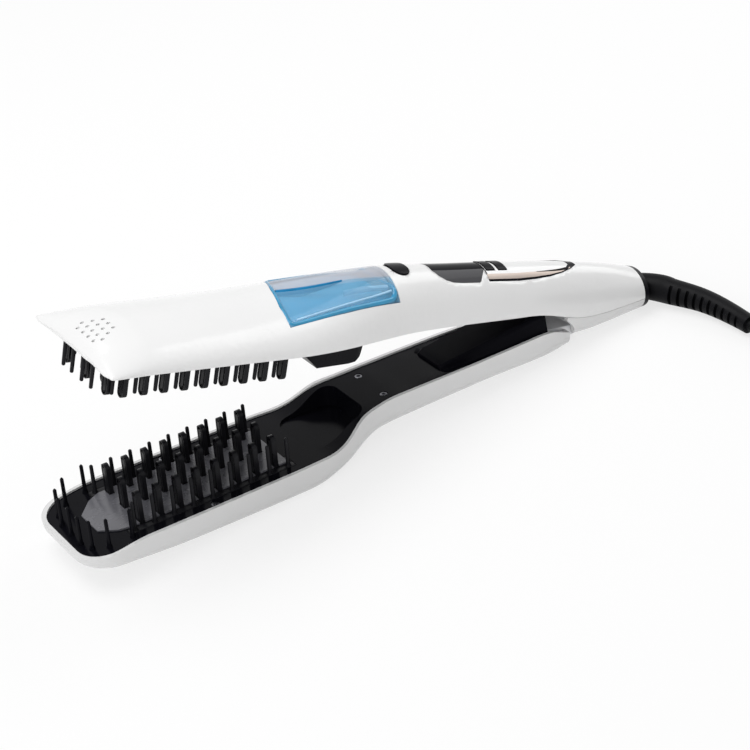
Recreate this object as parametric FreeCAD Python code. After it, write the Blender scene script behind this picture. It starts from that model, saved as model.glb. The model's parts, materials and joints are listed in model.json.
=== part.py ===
import FreeCAD, Part
import math
import os

# Steam hair straightener brush: two arms on one hinge at the tail, bristles and a heated plate on
# each arm, a lift-out water tank, a steam block, buttons and a mains cord.  Millimetres.
#
# Both arms are drawn in one frame with the arms parallel: X from the tip to the tail, Y across,
# Z up, and z = 0 on the rim of the upper shell.  The lower arm is then swung open about the hinge,
# and the whole tool is tilted until its tail and its lower head rest on the ground plane.

V = FreeCAD.Vector
X_AXIS = V(1, 0, 0)
Y_AXIS = V(0, 1, 0)
Z_AXIS = V(0, 0, 1)
FAR = 400.0                      # longer than anything on the tool, for cutting blocks

# ---------------------------------------------------------------- driving sizes
HEAD_LENGTH = 110.0              # combing head, from the tip
NECK_LENGTH = 75.0               # waist between the head and the handle
HANDLE_LENGTH = 96.0             # from the waist to the hinge
TAIL_LENGTH = 25.0               # from the hinge to the end of the shells
HEAD_HALF = 34.2                 # half widths of the upper shell
HANDLE_HALF = 17.2
TAIL_HALF = 12.8
TIP_CREST = 11.2                 # heights of the upper shell over its rim
NECK_CREST = 24.3
TAIL_CREST = 13.6
TIP_CORNER = 8.0                 # corner radius of the upper tip, seen from above
TIP_BOW = 1.5                    # how far the middle of the tip edge stands out
WALL = 2.2                       # moulded wall of the shells
LEDGE = 0.4                      # height of the straight foot inside the shells' walls
END_WALL = 2.6                   # wall across the tail end
FIT = 0.2                        # gap between pieces that sit in one another
RUNNING = 0.35                   # gap beside anything that moves

HINGE_DROP = 6.0                 # hinge axis under the rim plane
OPENING = 15.42                  # degrees between the arms at rest
JAW_RANGE = 13.5                 # degrees the lower arm swings when squeezed
PIN_RADIUS = 1.6
PIN_RUNNING = 0.06
BARREL_RADIUS = 5.0
KNUCKLE_HALF = 8.0

LOWER_HALF = 27.0                # half width of the lower deck at the head
LOWER_HANDLE_HALF = 16.6
LOWER_TIP = 8.0                  # how far the lower deck reaches past the upper tip
LOWER_CORNER = 14.0              # corner radius of the lower tip, seen from above
LOWER_RIM = 1.7                  # rim of the lower shell beside its deck
RIM_PROUD = 0.9                  # rim of the lower shell over its deck
DECK_DROP = 10.7                 # deck of the lower head under the rim plane
DECK_THICK = 2.0
LOWER_DEPTH = 13.4               # depth of the lower shell under the head deck
LOWER_HANDLE_DEPTH = 12.0
BOTTOM_CORNER = 6.0              # rounding along the bottom of the lower shell

TOOTH_PITCH = 9.78               # bristle spacing along the head
PIN_TOOTH_RADIUS = 1.0
PADDLE_WIDTH = 4.8
PADDLE_THICK = 2.2
UPPER_TOOTH_REACH = 14.0         # bristle tips under the upper rim
LOWER_TOOTH_REACH = 15.5         # bristle tips over the lower deck
UPPER_OUTER_ROW = 23.0
UPPER_INNER_ROW = 7.5
LOWER_PIN_ROW = 18.8
LOWER_SIDE_ROW = 14.2
STRIP_HALF = 2.5                 # half width of the strip that carries a row
STRIP_THICK = 2.0

PLATE_HALF = 18.0                # upper heating plate
PLATE_THICK = 1.4
LOWER_PLATE_HALF = 16.6
LOWER_PLATE_PROUD = 0.8

BLOCK_HALF = 15.0                # steam block behind the upper head
BLOCK_DROP = 15.0
BLOCK_LENGTH = 34.5
POCKET_CLEAR = 1.4

TANK_WALL = 1.5
TANK_FLOOR = 7.0                 # underside of the tank over the rim plane
TANK_NEAR_FRONT = HEAD_LENGTH - 19.5
TANK_FAR_FRONT = HEAD_LENGTH - 6.0
TANK_REAR = HEAD_LENGTH + 42.5
TANK_HALF_FRONT = 24.2
TANK_HALF_REAR = 17.3
STOPPER_RADIUS = 4.0
WATER_LEVEL = 15.0

STEAM_BUTTON_X = TANK_REAR + 8.4
STEAM_BUTTON_LENGTH = 8.6        # along the arm
STEAM_BUTTON_WIDTH = 13.6        # across the arm
BUTTON_PROUD = 0.7
BUTTON_TRAVEL = 1.0
WINDOW_FRONT = HEAD_LENGTH + NECK_LENGTH - 7.0
WINDOW_REAR = WINDOW_FRONT + 30.0
WINDOW_HALF = 10.7
BAR_LENGTH = 5.0                 # plus and minus buttons, along the arm
BAR_HALF = 5.4                   # and across it
BAR_FIRST = WINDOW_REAR + 4.0
BAR_PITCH = 7.2
PANEL_REAR = WINDOW_REAR + 60.0
PANEL_HALF = 10.4
TRIM_WIDTH = 3.0
SKIN = 1.2                       # thickness of the pieces inlaid in the shell

INLAY = 0.7                      # thickness of the trims and the centre panel on their surround

RING_LENGTH = 2.8                # black ring on the tail end
RING_LEAN = 7.0                  # lean of the tail end, degrees
CORD_RADIUS = 3.0
CORD_LEVEL = 2.5                 # height at which the cord leaves the tail
NECK_RADIUS = 7.2
GUARD_TIP_RADIUS = 4.6
COIL_MEAN = 34.5                 # radius of the middle of the coil's turns
COIL_ACROSS = 6.0                # half width of the coil's bundle, two turns beside each other
COIL_LAYERS = 4
TIE_ANGLE = 120.0                # where the band round the coil sits, degrees
TIE_SWEEP = 14.0


# ---------------------------------------------------------------- stations and profiles
def head(share):
    return HEAD_LENGTH * share


def neck(share):
    return HEAD_LENGTH + NECK_LENGTH * share


def handle(share):
    return HEAD_LENGTH + NECK_LENGTH + HANDLE_LENGTH * share


def tail(share):
    return HEAD_LENGTH + NECK_LENGTH + HANDLE_LENGTH + TAIL_LENGTH * share


HINGE = V(tail(0), 0, -HINGE_DROP)


def mix(first, last, share):
    return first + (last - first) * share


def profile(*stops):
    """A smooth curve through (x, value) stops that never overshoots them."""
    xs = [stop[0] for stop in stops]
    ys = [stop[1] for stop in stops]
    rises = [(ys[i + 1] - ys[i]) / (xs[i + 1] - xs[i]) for i in range(len(xs) - 1)]
    slopes = [rises[0]]
    for before, after in zip(rises, rises[1:]):
        slopes.append(0.0 if before * after <= 0 else 2 * before * after / (before + after))
    slopes.append(rises[-1])

    def value(x):
        if x <= xs[0]:
            return ys[0] + slopes[0] * (x - xs[0])
        if x >= xs[-1]:
            return ys[-1] + slopes[-1] * (x - xs[-1])
        i = max(k for k in range(len(xs) - 1) if xs[k] <= x)
        span = xs[i + 1] - xs[i]
        t = (x - xs[i]) / span
        low = (1 + 2 * t) * (1 - t) ** 2 * ys[i] + t * (1 - t) ** 2 * span * slopes[i]
        high = t * t * (3 - 2 * t) * ys[i + 1] - t * t * (1 - t) * span * slopes[i + 1]
        return low + high
    return value


upper_half = profile(
    (head(0.07), HEAD_HALF + 1.0), (head(0.18), HEAD_HALF), (head(0.86), HEAD_HALF - 1.2),
    (neck(0.11), mix(HEAD_HALF, HANDLE_HALF, 0.25)), (neck(0.4), mix(HEAD_HALF, HANDLE_HALF, 0.54)),
    (neck(0.67), mix(HEAD_HALF, HANDLE_HALF, 0.80)), (handle(0), HANDLE_HALF + 1.0),
    (handle(0.29), HANDLE_HALF - 0.2), (handle(0.62), HANDLE_HALF - 1.4), (tail(1), TAIL_HALF))
upper_crest = profile(
    (0, TIP_CREST - 9.2), (head(0.036), TIP_CREST - 4.7), (head(0.09), TIP_CREST - 1.8),
    (head(0.18), TIP_CREST), (head(0.36), TIP_CREST + 1.2), (head(0.64), TIP_CREST + 3.0),
    (head(0.86), TIP_CREST + 5.1), (neck(0.13), NECK_CREST - 4.3), (neck(0.47), NECK_CREST - 0.9),
    (neck(0.67), NECK_CREST), (handle(0.05), NECK_CREST - 1.3), (handle(0.36), NECK_CREST - 2.5),
    (handle(0.62), NECK_CREST - 3.7), (tail(0.36), TAIL_CREST + 2.6), (tail(1), TAIL_CREST))
seam = profile((0, 0), (handle(0.6), 0), (handle(0.78), -3.8), (handle(0.9), -3.8), (tail(1), 1.3))
tail_bottom = profile((handle(0.66), -18.5), (handle(0.88), -17.0), (tail(0.36), -12.5), (tail(1), -8.0))

deck_level = profile(
    (-LOWER_TIP, -DECK_DROP - 3.6), (head(0.05), -DECK_DROP - 1.6), (head(0.18), -DECK_DROP),
    (neck(0.06), -DECK_DROP), (neck(0.19), -8.5), (neck(0.29), -3.6), (neck(0.41), -1.2),
    (neck(0.62), 0.0), (handle(0.1), -0.3), (handle(0.62), -1.6), (handle(0.82), -9.0))
deck_half = profile(
    (head(0.14), LOWER_HALF), (head(0.9), LOWER_HALF - 0.7), (neck(0.1), LOWER_HALF - 2.0),
    (neck(0.24), LOWER_HALF - 4.4), (neck(0.41), mix(LOWER_HANDLE_HALF, LOWER_HALF, 0.18)),
    (neck(0.62), LOWER_HANDLE_HALF + 0.1), (handle(0.1), LOWER_HANDLE_HALF),
    (handle(0.62), LOWER_HANDLE_HALF - 2.6), (handle(0.82), LOWER_HANDLE_HALF - 6.5))
lower_bottom = profile(
    (-LOWER_TIP - 3, -DECK_DROP - 8.5), (head(0.1), -DECK_DROP - 10.8),
    (head(0.4), -DECK_DROP - LOWER_DEPTH + 0.6), (head(0.95), -DECK_DROP - LOWER_DEPTH),
    (neck(0.2), -DECK_DROP - LOWER_DEPTH + 4.2), (neck(0.5), -LOWER_HANDLE_DEPTH - 1.6),
    (handle(0.2), -LOWER_HANDLE_DEPTH - 0.6), (handle(0.62), -LOWER_HANDLE_DEPTH - 2.8),
    (handle(0.82), -LOWER_HANDLE_DEPTH - 3.6))


def stations(start, bow, radius, end, longest):
    """Section stations: dense round the corners at the start, then in steps that grow to the longest."""
    steps = 5
    spots = [start + bow * share for share in (0.0, 0.25, 0.6) if bow > 0]
    spots += [start + bow + radius * (1 - math.cos(math.pi / 2 * k / steps)) for k in range(steps + 1)]
    step = spots[-1] - spots[-2]
    while spots[-1] + 1.5 * step < end:
        step = min(step * 1.35, longest)
        spots.append(spots[-1] + step)
    return spots + [end]


def corner_half(half, start, bow, radius):
    """The half width with a bowed front edge and a corner of this radius on its first stretch."""
    def value(x):
        left = max(start + bow + radius - x, 0.0)
        if left <= radius:
            return half(x) - radius + math.sqrt(radius * radius - left * left)
        short = (left - radius) / bow
        return (half(x) - radius) * mix(0.4, 1.0, math.sqrt(max(1 - short * short, 0.0)))
    return value


# ---------------------------------------------------------------- solid helpers
def closed_wire(points):
    return Part.makePolygon(points + [points[0]])


def prism(outline, low, high):
    """An upright prism over (x, y) points."""
    face = Part.Face(closed_wire([V(x, y, low) for x, y in outline]))
    return face.extrude(V(0, 0, high - low))


def side_prism(outline, half):
    """A prism across the arm over (x, z) points."""
    face = Part.Face(closed_wire([V(x, -half, z) for x, z in outline]))
    return face.extrude(V(0, 2 * half, 0))


def block(x0, x1, y0, y1, z0, z1):
    return Part.makeBox(x1 - x0, y1 - y0, z1 - z0, V(x0, y0, z0))


def stadium(x, y, length, width, low, high):
    """An upright rod with a long round section; length runs along the arm."""
    radius = min(length, width) / 2
    if length > width:
        ends = [(x - length / 2 + radius, y), (x + length / 2 - radius, y)]
        core = block(ends[0][0], ends[1][0], y - radius, y + radius, low, high)
    else:
        ends = [(x, y - width / 2 + radius), (x, y + width / 2 - radius)]
        core = block(x - radius, x + radius, ends[0][1], ends[1][1], low, high)
    rods = [Part.makeCylinder(radius, high - low, V(a, b, low), Z_AXIS) for a, b in ends]
    return core.fuse(rods).removeSplitter()


def arch_wire(x, half, base, crest, foot):
    """Half an ellipse over the arm, closed by straight sides down to the foot."""
    if foot < base:
        base += LEDGE
    steps = 8
    turns = [math.pi * k / steps for k in range(steps + 1)]
    points = [V(x, -half * math.cos(t), base + (crest - base) * math.sin(t)) for t in turns]
    curve = Part.BSplineCurve()
    curve.interpolate(Points=points, Parameters=turns)
    edges = [curve.toShape()]
    ring = [points[-1], points[0]]
    if foot < base:
        ring = [points[-1], V(x, half, foot), V(x, -half, foot), points[0]]
    edges += [Part.makeLine(a, b) for a, b in zip(ring, ring[1:])]
    return Part.Wire(edges)


def tray_wire(x, half, bottom, top, corner):
    """A trough: straight sides, rounded bottom corners, flat bottom, open top closed by a line."""
    radius = min(corner, (top - bottom) * 0.8, half * 0.8)
    bend = radius * (1 - math.sqrt(0.5))
    left = [V(x, -half, top), V(x, -half, bottom + radius), V(x, -half + bend, bottom + bend),
            V(x, -half + radius, bottom)]
    right = [V(p.x, -p.y, p.z) for p in left]
    edges = [Part.makeLine(left[0], left[1]),
             Part.Arc(left[1], left[2], left[3]).toShape(),
             Part.makeLine(left[3], right[3]),
             Part.Arc(right[3], right[2], right[1]).toShape(),
             Part.makeLine(right[1], right[0]),
             Part.makeLine(right[0], left[0])]
    return Part.Wire(edges)


def plate_wire(x, half, bottom, top):
    return closed_wire([V(x, -half, bottom), V(x, half, bottom), V(x, half, top), V(x, -half, top)])


def loft(wires):
    return Part.makeLoft(wires, True, False)


def skin_piece(outline_solid, outer, top, thick):
    """The layer of the outer form under the outline, from top down by thick."""
    layer = outline_solid.common(outer.translated(V(0, 0, -top)))
    return layer.cut(outer.translated(V(0, 0, -top - thick)))


def tooth_pin(x, y, root, tip, radius):
    """An eight-sided bristle with a flared foot and a blunt tip."""
    way = 1 if tip > root else -1
    rings = ((root, radius * 1.6), (root + way * 2.0, radius), (tip - way * radius * 0.8, radius * 0.9),
             (tip, radius * 0.4))
    turns = [math.pi / 4 * k for k in range(8)]
    wires = [closed_wire([V(x + size * math.cos(t), y + size * math.sin(t), z) for t in turns])
             for z, size in rings]
    return Part.makeLoft(wires, True, True)


def tooth_paddle(x, y, root, tip):
    """A flat bristle across the arm with a round end."""
    way = 1 if tip > root else -1
    half = PADDLE_WIDTH / 2
    shoulder = tip - way * half
    face = V(x - PADDLE_THICK / 2, 0, 0)
    corners = [face + V(0, y - half, shoulder), face + V(0, y - half, root),
               face + V(0, y + half, root), face + V(0, y + half, shoulder)]
    edges = [Part.makeLine(a, b) for a, b in zip(corners, corners[1:])]
    edges.append(Part.Arc(corners[3], face + V(0, y, tip), corners[0]).toShape())
    return Part.Face(Part.Wire(edges)).extrude(V(PADDLE_THICK, 0, 0))


# ---------------------------------------------------------------- the arms' outer and inner forms
def upper_stations(start, end):
    return stations(start, TIP_BOW, TIP_CORNER, end, 13.0)


def upper_form(inset, drop=0.0, shorter=0.0):
    """The upper shell's form; inset moves it inwards, drop opens its underside."""
    start = inset * 1.8
    half = corner_half(lambda x: upper_half(x) - inset, start, TIP_BOW, TIP_CORNER)
    wires = []
    for x in upper_stations(start, tail(1) + 2 * RING_LENGTH - shorter):
        base = seam(x)
        crest = max(upper_crest(x) - inset, base + 0.6)
        wires.append(arch_wire(x, half(x), base, crest, base - drop))
    return loft(wires)


def tail_form(inset, rise=0.0, shorter=0.0):
    """The underside of the tail; inset moves it inwards, rise opens it upwards past the seam."""
    end = tail(1) + 2 * RING_LENGTH - shorter
    wires = []
    for x in [spot for spot in upper_stations(0.0, end) if spot > handle(0.5)]:
        base = FIT - seam(x)
        wires.append(arch_wire(x, upper_half(x) - inset, base, -tail_bottom(x) - inset, base - rise))
    return loft(wires).mirror(V(0, 0, 0), Z_AXIS)


def tail_end_cutter(offset):
    """Everything behind the leaning tail end."""
    cutter = block(tail(1) + offset, tail(1) + offset + FAR, -FAR / 2, FAR / 2, -FAR / 2, FAR / 2)
    cutter.rotate(V(tail(1) + offset, 0, upper_crest(tail(1))), Y_AXIS, -RING_LEAN)
    return cutter


def lower_form(inset, top_over_deck):
    """The lower shell's form, from its bottom to a level over the deck."""
    start = -LOWER_TIP - LOWER_RIM + inset
    half = corner_half(lambda x: deck_half(x) + LOWER_RIM - inset, start, 0.0, LOWER_CORNER)
    wires = []
    for x in stations(start, 0.0, LOWER_CORNER, handle(0.8) - inset, 9.0):
        top = deck_level(x) + top_over_deck
        wires.append(tray_wire(x, half(x), deck_level(x) - lower_depth(x, start, inset), top, BOTTOM_CORNER - inset))
    return loft(wires)


def lower_depth(x, start, inset):
    """Depth under the deck level; it shrinks round the nose."""
    nose = min(max((x - start) / LOWER_CORNER, 0.0), 1.0)
    return (deck_level(x) - lower_bottom(x) - inset) * math.sqrt(1 - (1 - nose) ** 2 * 0.75)


def deck_plate():
    """The deck's own plate, of one thickness, thinner where the nose gets shallow."""
    inset = LOWER_RIM + FIT
    start = -LOWER_TIP - LOWER_RIM + inset
    half = corner_half(lambda x: deck_half(x) + LOWER_RIM - inset, start, 0.0, LOWER_CORNER)
    wires = []
    for x in stations(start, 0.0, LOWER_CORNER, KNUCKLE_FRONT - FIT, 9.0):
        thick = min(DECK_THICK, lower_depth(x, start, inset))
        wires.append(plate_wire(x, half(x), deck_level(x) - thick, deck_level(x)))
    return loft(wires)


parts = {}
UPPER, LOWER, GROUND = "upper", "lower", "ground"


def add(name, arm, shape):
    parts[name] = (arm, shape)


upper_outer = upper_form(0.0)
SHORTER = 2 * RING_LENGTH + END_WALL
upper_cavity = upper_form(WALL, drop=3.0, shorter=SHORTER)
upper_inner_fit = upper_form(WALL + FIT, drop=3.0)
upper_outer = upper_outer.cut(tail_end_cutter(0.0))


# ---------------------------------------------------------------- openings in the upper shell
def tank_outline(gap):
    return [(TANK_NEAR_FRONT - gap, -TANK_HALF_FRONT - gap),
            (mix(TANK_NEAR_FRONT, TANK_FAR_FRONT, 0.12) - gap, -TANK_HALF_FRONT * 0.48),
            (mix(TANK_NEAR_FRONT, TANK_FAR_FRONT, 0.50) - gap, TANK_HALF_FRONT * 0.20),
            (TANK_FAR_FRONT - gap, TANK_HALF_FRONT * 0.85 + gap),
            (mix(TANK_FAR_FRONT, TANK_REAR, 0.5), mix(TANK_HALF_FRONT, TANK_HALF_REAR, 0.6) + gap),
            (TANK_REAR + gap, TANK_HALF_REAR + gap),
            (TANK_REAR + gap, -TANK_HALF_REAR - gap),
            (mix(TANK_NEAR_FRONT, TANK_REAR, 0.5), -mix(TANK_HALF_FRONT, TANK_HALF_REAR, 0.42) - gap)]


def window_outline(gap):
    half = WINDOW_HALF + gap
    side = [(WINDOW_FRONT - gap, -half * 0.4), (WINDOW_FRONT + 2.0, -half * 0.72), (WINDOW_FRONT + 5.0, -half * 0.89),
            (WINDOW_FRONT + 9.0, -half * 0.98), (WINDOW_FRONT + 14.0, -half), (WINDOW_REAR - 5.5, -half),
            (WINDOW_REAR - 4.5, -half * 0.95), (WINDOW_REAR + gap, -half * 0.45)]
    return side + [(x, -y) for x, y in reversed(side)]


def panel_outline(inset, front):
    """Teardrop behind the window, open at its front."""
    half = PANEL_HALF - inset
    side = [(front, -half), (mix(front, PANEL_REAR, 0.3), -half), (mix(front, PANEL_REAR, 0.48), -half * 0.95),
            (mix(front, PANEL_REAR, 0.64), -half * 0.85), (mix(front, PANEL_REAR, 0.78), -half * 0.69),
            (mix(front, PANEL_REAR, 0.90), -half * 0.47), (PANEL_REAR - inset * 0.8 - 1.0, -half * 0.2)]
    return side + [(x, -y) for x, y in reversed(side)]


PANEL_FRONT = WINDOW_REAR + FIT
BARS = [BAR_FIRST, BAR_FIRST + BAR_PITCH]
SKY = NECK_CREST + 10.0

tank_hole = prism(tank_outline(RUNNING), -1.0, SKY)
window_hole = skin_piece(prism(window_outline(FIT), 0, SKY), upper_outer.translated(V(0, 0, 1)), 1, SKIN + FIT)
panel_hole = skin_piece(prism(panel_outline(-FIT, PANEL_FRONT), 0, SKY), upper_outer.translated(V(0, 0, 1)),
                        1, SKIN + FIT)
display_port = block(WINDOW_FRONT + 6, WINDOW_REAR - 6, -5.5, 5.5, 0, SKY)
steam_port = stadium(STEAM_BUTTON_X, 0, STEAM_BUTTON_LENGTH + 2 * RUNNING, STEAM_BUTTON_WIDTH + 2 * RUNNING,
                     0, SKY)
bar_ports = [block(x - BAR_LENGTH / 2 - RUNNING, x + BAR_LENGTH / 2 + RUNNING,
                   -BAR_HALF - RUNNING, BAR_HALF + RUNNING, 0, SKY) for x in BARS]


def cord_hole():
    return Part.makeCylinder(CORD_RADIUS + 1, 2 * TAIL_LENGTH, V(tail(0.5), 0, CORD_LEVEL), X_AXIS)


VENT_RADIUS = 0.8
VENT_PITCH = 4.6
VENT_ROWS = ((head(0.05), 4), (head(0.075), 5), (head(0.105), 4), (head(0.135), 3))


def vents():
    """Staggered rows of holes in the tip."""
    holes = []
    for x, count in VENT_ROWS:
        for k in range(count):
            y = (k - (count - 1) / 2) * VENT_PITCH
            holes.append(Part.makeCylinder(VENT_RADIUS, SKY, V(x, y, 0), Z_AXIS))
    return holes


def make_upper_shell():
    shell = upper_outer.cut(upper_cavity)
    openings = [cord_hole(), tank_hole, window_hole, panel_hole, display_port, steam_port]
    return shell.cut(openings + bar_ports + vents())


add("upper_shell", UPPER, make_upper_shell())


# ---------------------------------------------------------------- tail
KNUCKLE_FRONT = handle(0.66)
PIN_HALF = upper_half(HINGE.x) - WALL - 1.5


def knuckle_outline(gap):
    """Side view of the arm that runs from the lower shell to the hinge pin."""
    return [(KNUCKLE_FRONT - gap, -3.4 + gap), (handle(0.84), -6.6 + gap),
            (HINGE.x, HINGE.z + BARREL_RADIUS - 0.6 + gap), (HINGE.x, HINGE.z - BARREL_RADIUS + 0.6 - gap),
            (handle(0.86), -11.6 - gap), (KNUCKLE_FRONT - gap, -11.6 - gap)]


def knuckle_sweep():
    """The room that the knuckle needs over its whole swing."""
    half = KNUCKLE_HALF + RUNNING
    room = [Part.makeCylinder(BARREL_RADIUS + RUNNING, 2 * half, V(HINGE.x, -half, HINGE.z), Y_AXIS)]
    for share in (0.0, 0.33, 0.67, 1.0):
        arm = side_prism(knuckle_outline(RUNNING), half)
        arm.rotate(HINGE, Y_AXIS, JAW_RANGE * share - OPENING)
        room.append(arm)
    return room


def make_tail_cover():
    outer = tail_form(0.0).cut(tail_end_cutter(0.0))
    inner = tail_form(WALL, rise=4.0, shorter=SHORTER)
    cover = outer.cut(inner)
    mouth = Part.makeCylinder(25.5, FAR, V(handle(0.635), -FAR / 2, -28.0), Y_AXIS)
    front = block(0, handle(0.75), -FAR / 2, FAR / 2, -FAR / 2, FAR / 2)
    cover = cover.cut([mouth, front])
    boss_out = upper_half(HINGE.x) - WALL - FIT
    for side in (-1, 1):
        y0 = side * (KNUCKLE_HALF + RUNNING)
        boss = Part.makeCylinder(PIN_RADIUS + 2.0, boss_out - KNUCKLE_HALF - RUNNING,
                                 V(HINGE.x, y0, HINGE.z), V(0, side, 0))
        cover = cover.fuse(boss)
    bore = Part.makeCylinder(PIN_RADIUS + 0.02, 2 * PIN_HALF + FIT, V(HINGE.x, -PIN_HALF - FIT / 2, HINGE.z), Y_AXIS)
    return cover.cut([bore, cord_hole()] + knuckle_sweep())


def oval_wire(x):
    """The whole round of the tail: the crest's arch over the underside's."""
    over = arch_wire(x, upper_half(x), seam(x), upper_crest(x), seam(x)).Edges[0]
    under = arch_wire(x, upper_half(x), -seam(x), -tail_bottom(x), -seam(x)).Edges[0]
    return Part.Wire([over, under.mirror(V(0, 0, 0), Z_AXIS)])


def make_tail_ring():
    whole = loft([oval_wire(x) for x in (tail(0.9), tail(1), tail(1) + 2 * RING_LENGTH)])
    return whole.common(tail_end_cutter(0.05)).cut(tail_end_cutter(RING_LENGTH))


add("tail_cover", UPPER, make_tail_cover())
add("tail_ring", UPPER, make_tail_ring())


# ---------------------------------------------------------------- hinge
def make_hinge_pin():
    return Part.makeCylinder(PIN_RADIUS, 2 * PIN_HALF, V(HINGE.x, -PIN_HALF, HINGE.z), Y_AXIS)


def make_hinge_spring():
    """Wound body of the torsion spring, in the slot of the knuckle."""
    coil = Part.makeCylinder(PIN_RADIUS + 1.6, 5.0, V(HINGE.x, -2.5, HINGE.z), Y_AXIS)
    hole = Part.makeCylinder(PIN_RADIUS + 0.5, 5.0, V(HINGE.x, -2.5, HINGE.z), Y_AXIS)
    return coil.cut(hole)


add("hinge_pin", UPPER, make_hinge_pin())
add("hinge_spring", UPPER, make_hinge_spring())


# ---------------------------------------------------------------- controls
def make_button(solid, top_over):
    """A button cap that follows the shell's crown and stands a little over it."""
    raised = upper_outer.translated(V(0, 0, top_over))
    return solid.common(raised)


display_window = skin_piece(prism(window_outline(0), 0, SKY), upper_outer, 0.0, SKIN)
add("display_window", UPPER, display_window)

panel_whole = skin_piece(prism(panel_outline(0, PANEL_FRONT + FIT), 0, SKY), upper_outer, 0.0, SKIN)
inner_front = PANEL_FRONT + FIT + 0.5
centre_cut = prism(panel_outline(TRIM_WIDTH, PANEL_FRONT + FIT), 0, SKY)
trim_band = prism(panel_outline(0.7, PANEL_FRONT + FIT), 0, SKY).cut(centre_cut)
trim_band = trim_band.common(block(PANEL_FRONT, handle(0.8), -FAR / 2, FAR / 2, 0, SKY))
centre_zone = centre_cut.common(block(inner_front, PANEL_REAR - 6.0, -FAR / 2, FAR / 2, 0, SKY))
trims = skin_piece(trim_band, upper_outer, 0.0, INLAY)
centre = skin_piece(centre_zone, upper_outer, 0.0, INLAY).cut(bar_ports)
add("control_surround", UPPER, panel_whole.cut([trims, centre] + bar_ports))
for name, side in (("trim_near", -1), ("trim_far", 1)):
    half_space = block(0, FAR, min(0, side * FAR), max(0, side * FAR), -FAR, FAR)
    add(name, UPPER, trims.common(half_space))
add("centre_panel", UPPER, centre)

steam_cap = stadium(STEAM_BUTTON_X, 0, STEAM_BUTTON_LENGTH, STEAM_BUTTON_WIDTH, NECK_CREST - 4.0, SKY)
add("steam_button", UPPER, make_button(steam_cap, BUTTON_PROUD))
for name, x in (("plus_button", BARS[0]), ("minus_button", BARS[1])):
    cap = block(x - BAR_LENGTH / 2, x + BAR_LENGTH / 2, -BAR_HALF, BAR_HALF, upper_crest(x) - 4.5, SKY)
    add(name, UPPER, make_button(cap, BUTTON_PROUD * 0.6))


# ---------------------------------------------------------------- water tank
def tank_slab(inset, low, high):
    return prism(tank_outline(-inset), low, high)


def make_water_tank():
    outer = tank_slab(0, TANK_FLOOR, SKY).common(upper_outer)
    inside = tank_slab(TANK_WALL, TANK_FLOOR + TANK_WALL, SKY).common(upper_outer.translated(V(0, 0, -TANK_WALL)))
    return outer.cut([inside, stopper_rod(0.02, 2 * TANK_WALL)])


def stopper_rod(gap, length):
    """Rod through the tank's floor at its rear."""
    return Part.makeCylinder(STOPPER_RADIUS + gap, length, V(TANK_REAR - 9.0, 0, TANK_FLOOR), Z_AXIS)


def make_tank_water():
    gap = TANK_WALL + FIT
    inside = tank_slab(gap, TANK_FLOOR + gap, WATER_LEVEL)
    return inside.common(upper_outer.translated(V(0, 0, -gap))).cut(stopper_rod(FIT, TANK_FLOOR))


add("water_tank", UPPER, make_water_tank())
add("tank_water", UPPER, make_tank_water())
add("tank_stopper", UPPER, stopper_rod(0.0, 2.2 * TANK_WALL))


def make_tank_bay():
    """Tray that the tank sits in: a floor and a low wall round it."""
    floor_top = TANK_FLOOR - FIT
    tray = prism(tank_outline(RUNNING + 1.5), floor_top - 1.5, floor_top + 4.0)
    tray = tray.cut(prism(tank_outline(RUNNING), floor_top, floor_top + 4.0))
    return tray.common(upper_inner_fit)


add("tank_bay", UPPER, make_tank_bay())


# ---------------------------------------------------------------- bristle rows
def row_stations(start, count):
    return [start + TOOTH_PITCH * k for k in range(count)]


def bristle_row(y, teeth, first, last, low, high):
    """A carrier strip with its bristles fused on."""
    strip = block(first, last, y - STRIP_HALF, y + STRIP_HALF, low, high)
    return strip.fuse(teeth)


UPPER_FIRST = head(0.105)
LOWER_FIRST = head(0.207)
upper_paddles = row_stations(UPPER_FIRST, 9)
upper_pins = [x + TOOTH_PITCH * 0.6 for x in upper_paddles[:-1]]
lower_paddles = row_stations(LOWER_FIRST, 8)
lower_pins = [x - TOOTH_PITCH / 2 for x in lower_paddles] + [lower_paddles[-1] + TOOTH_PITCH / 2]
BASE_LOW = 0.6
BASE_HIGH = 2.6
upper_first_x = UPPER_FIRST - 3.0
upper_last_x = upper_paddles[-1] + 3.0


def upper_row(y, outer):
    pins = upper_pins if outer else []
    root = BASE_HIGH - 0.5
    teeth = [tooth_paddle(x, y, root, -UPPER_TOOTH_REACH) for x in upper_paddles]
    teeth += [tooth_pin(x, y, root, -UPPER_TOOTH_REACH + 1.0, PIN_TOOTH_RADIUS) for x in pins]
    return bristle_row(y, teeth, upper_first_x, upper_last_x, BASE_LOW, BASE_HIGH)


ROWS = (("near_outer", -UPPER_OUTER_ROW, True), ("near_inner", -UPPER_INNER_ROW, False),
        ("far_inner", UPPER_INNER_ROW, False), ("far_outer", UPPER_OUTER_ROW, True))
for label, y, outer in ROWS:
    add("upper_bristles_" + label, UPPER, upper_row(y, outer))


def make_upper_comb_base():
    """Black plate that closes the head, slotted for the bristle strips."""
    base = block(4.5, head(0.965) - FIT, -FAR / 2, FAR / 2, BASE_LOW, BASE_HIGH).common(upper_inner_fit)
    slots = [block(upper_first_x - FIT, upper_last_x + FIT, y - STRIP_HALF - FIT, y + STRIP_HALF + FIT, -5, 10)
             for label, y, outer in ROWS]
    front_pins = [tooth_pin(x, y, BASE_LOW + 0.2, -UPPER_TOOTH_REACH + 1.5, PIN_TOOTH_RADIUS)
                  for x, y in ((7.0, 4.5), (6.9, -4.5), (7.3, -14.0), (7.3, 14.0))]
    return base.cut(slots).fuse(front_pins)


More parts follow.
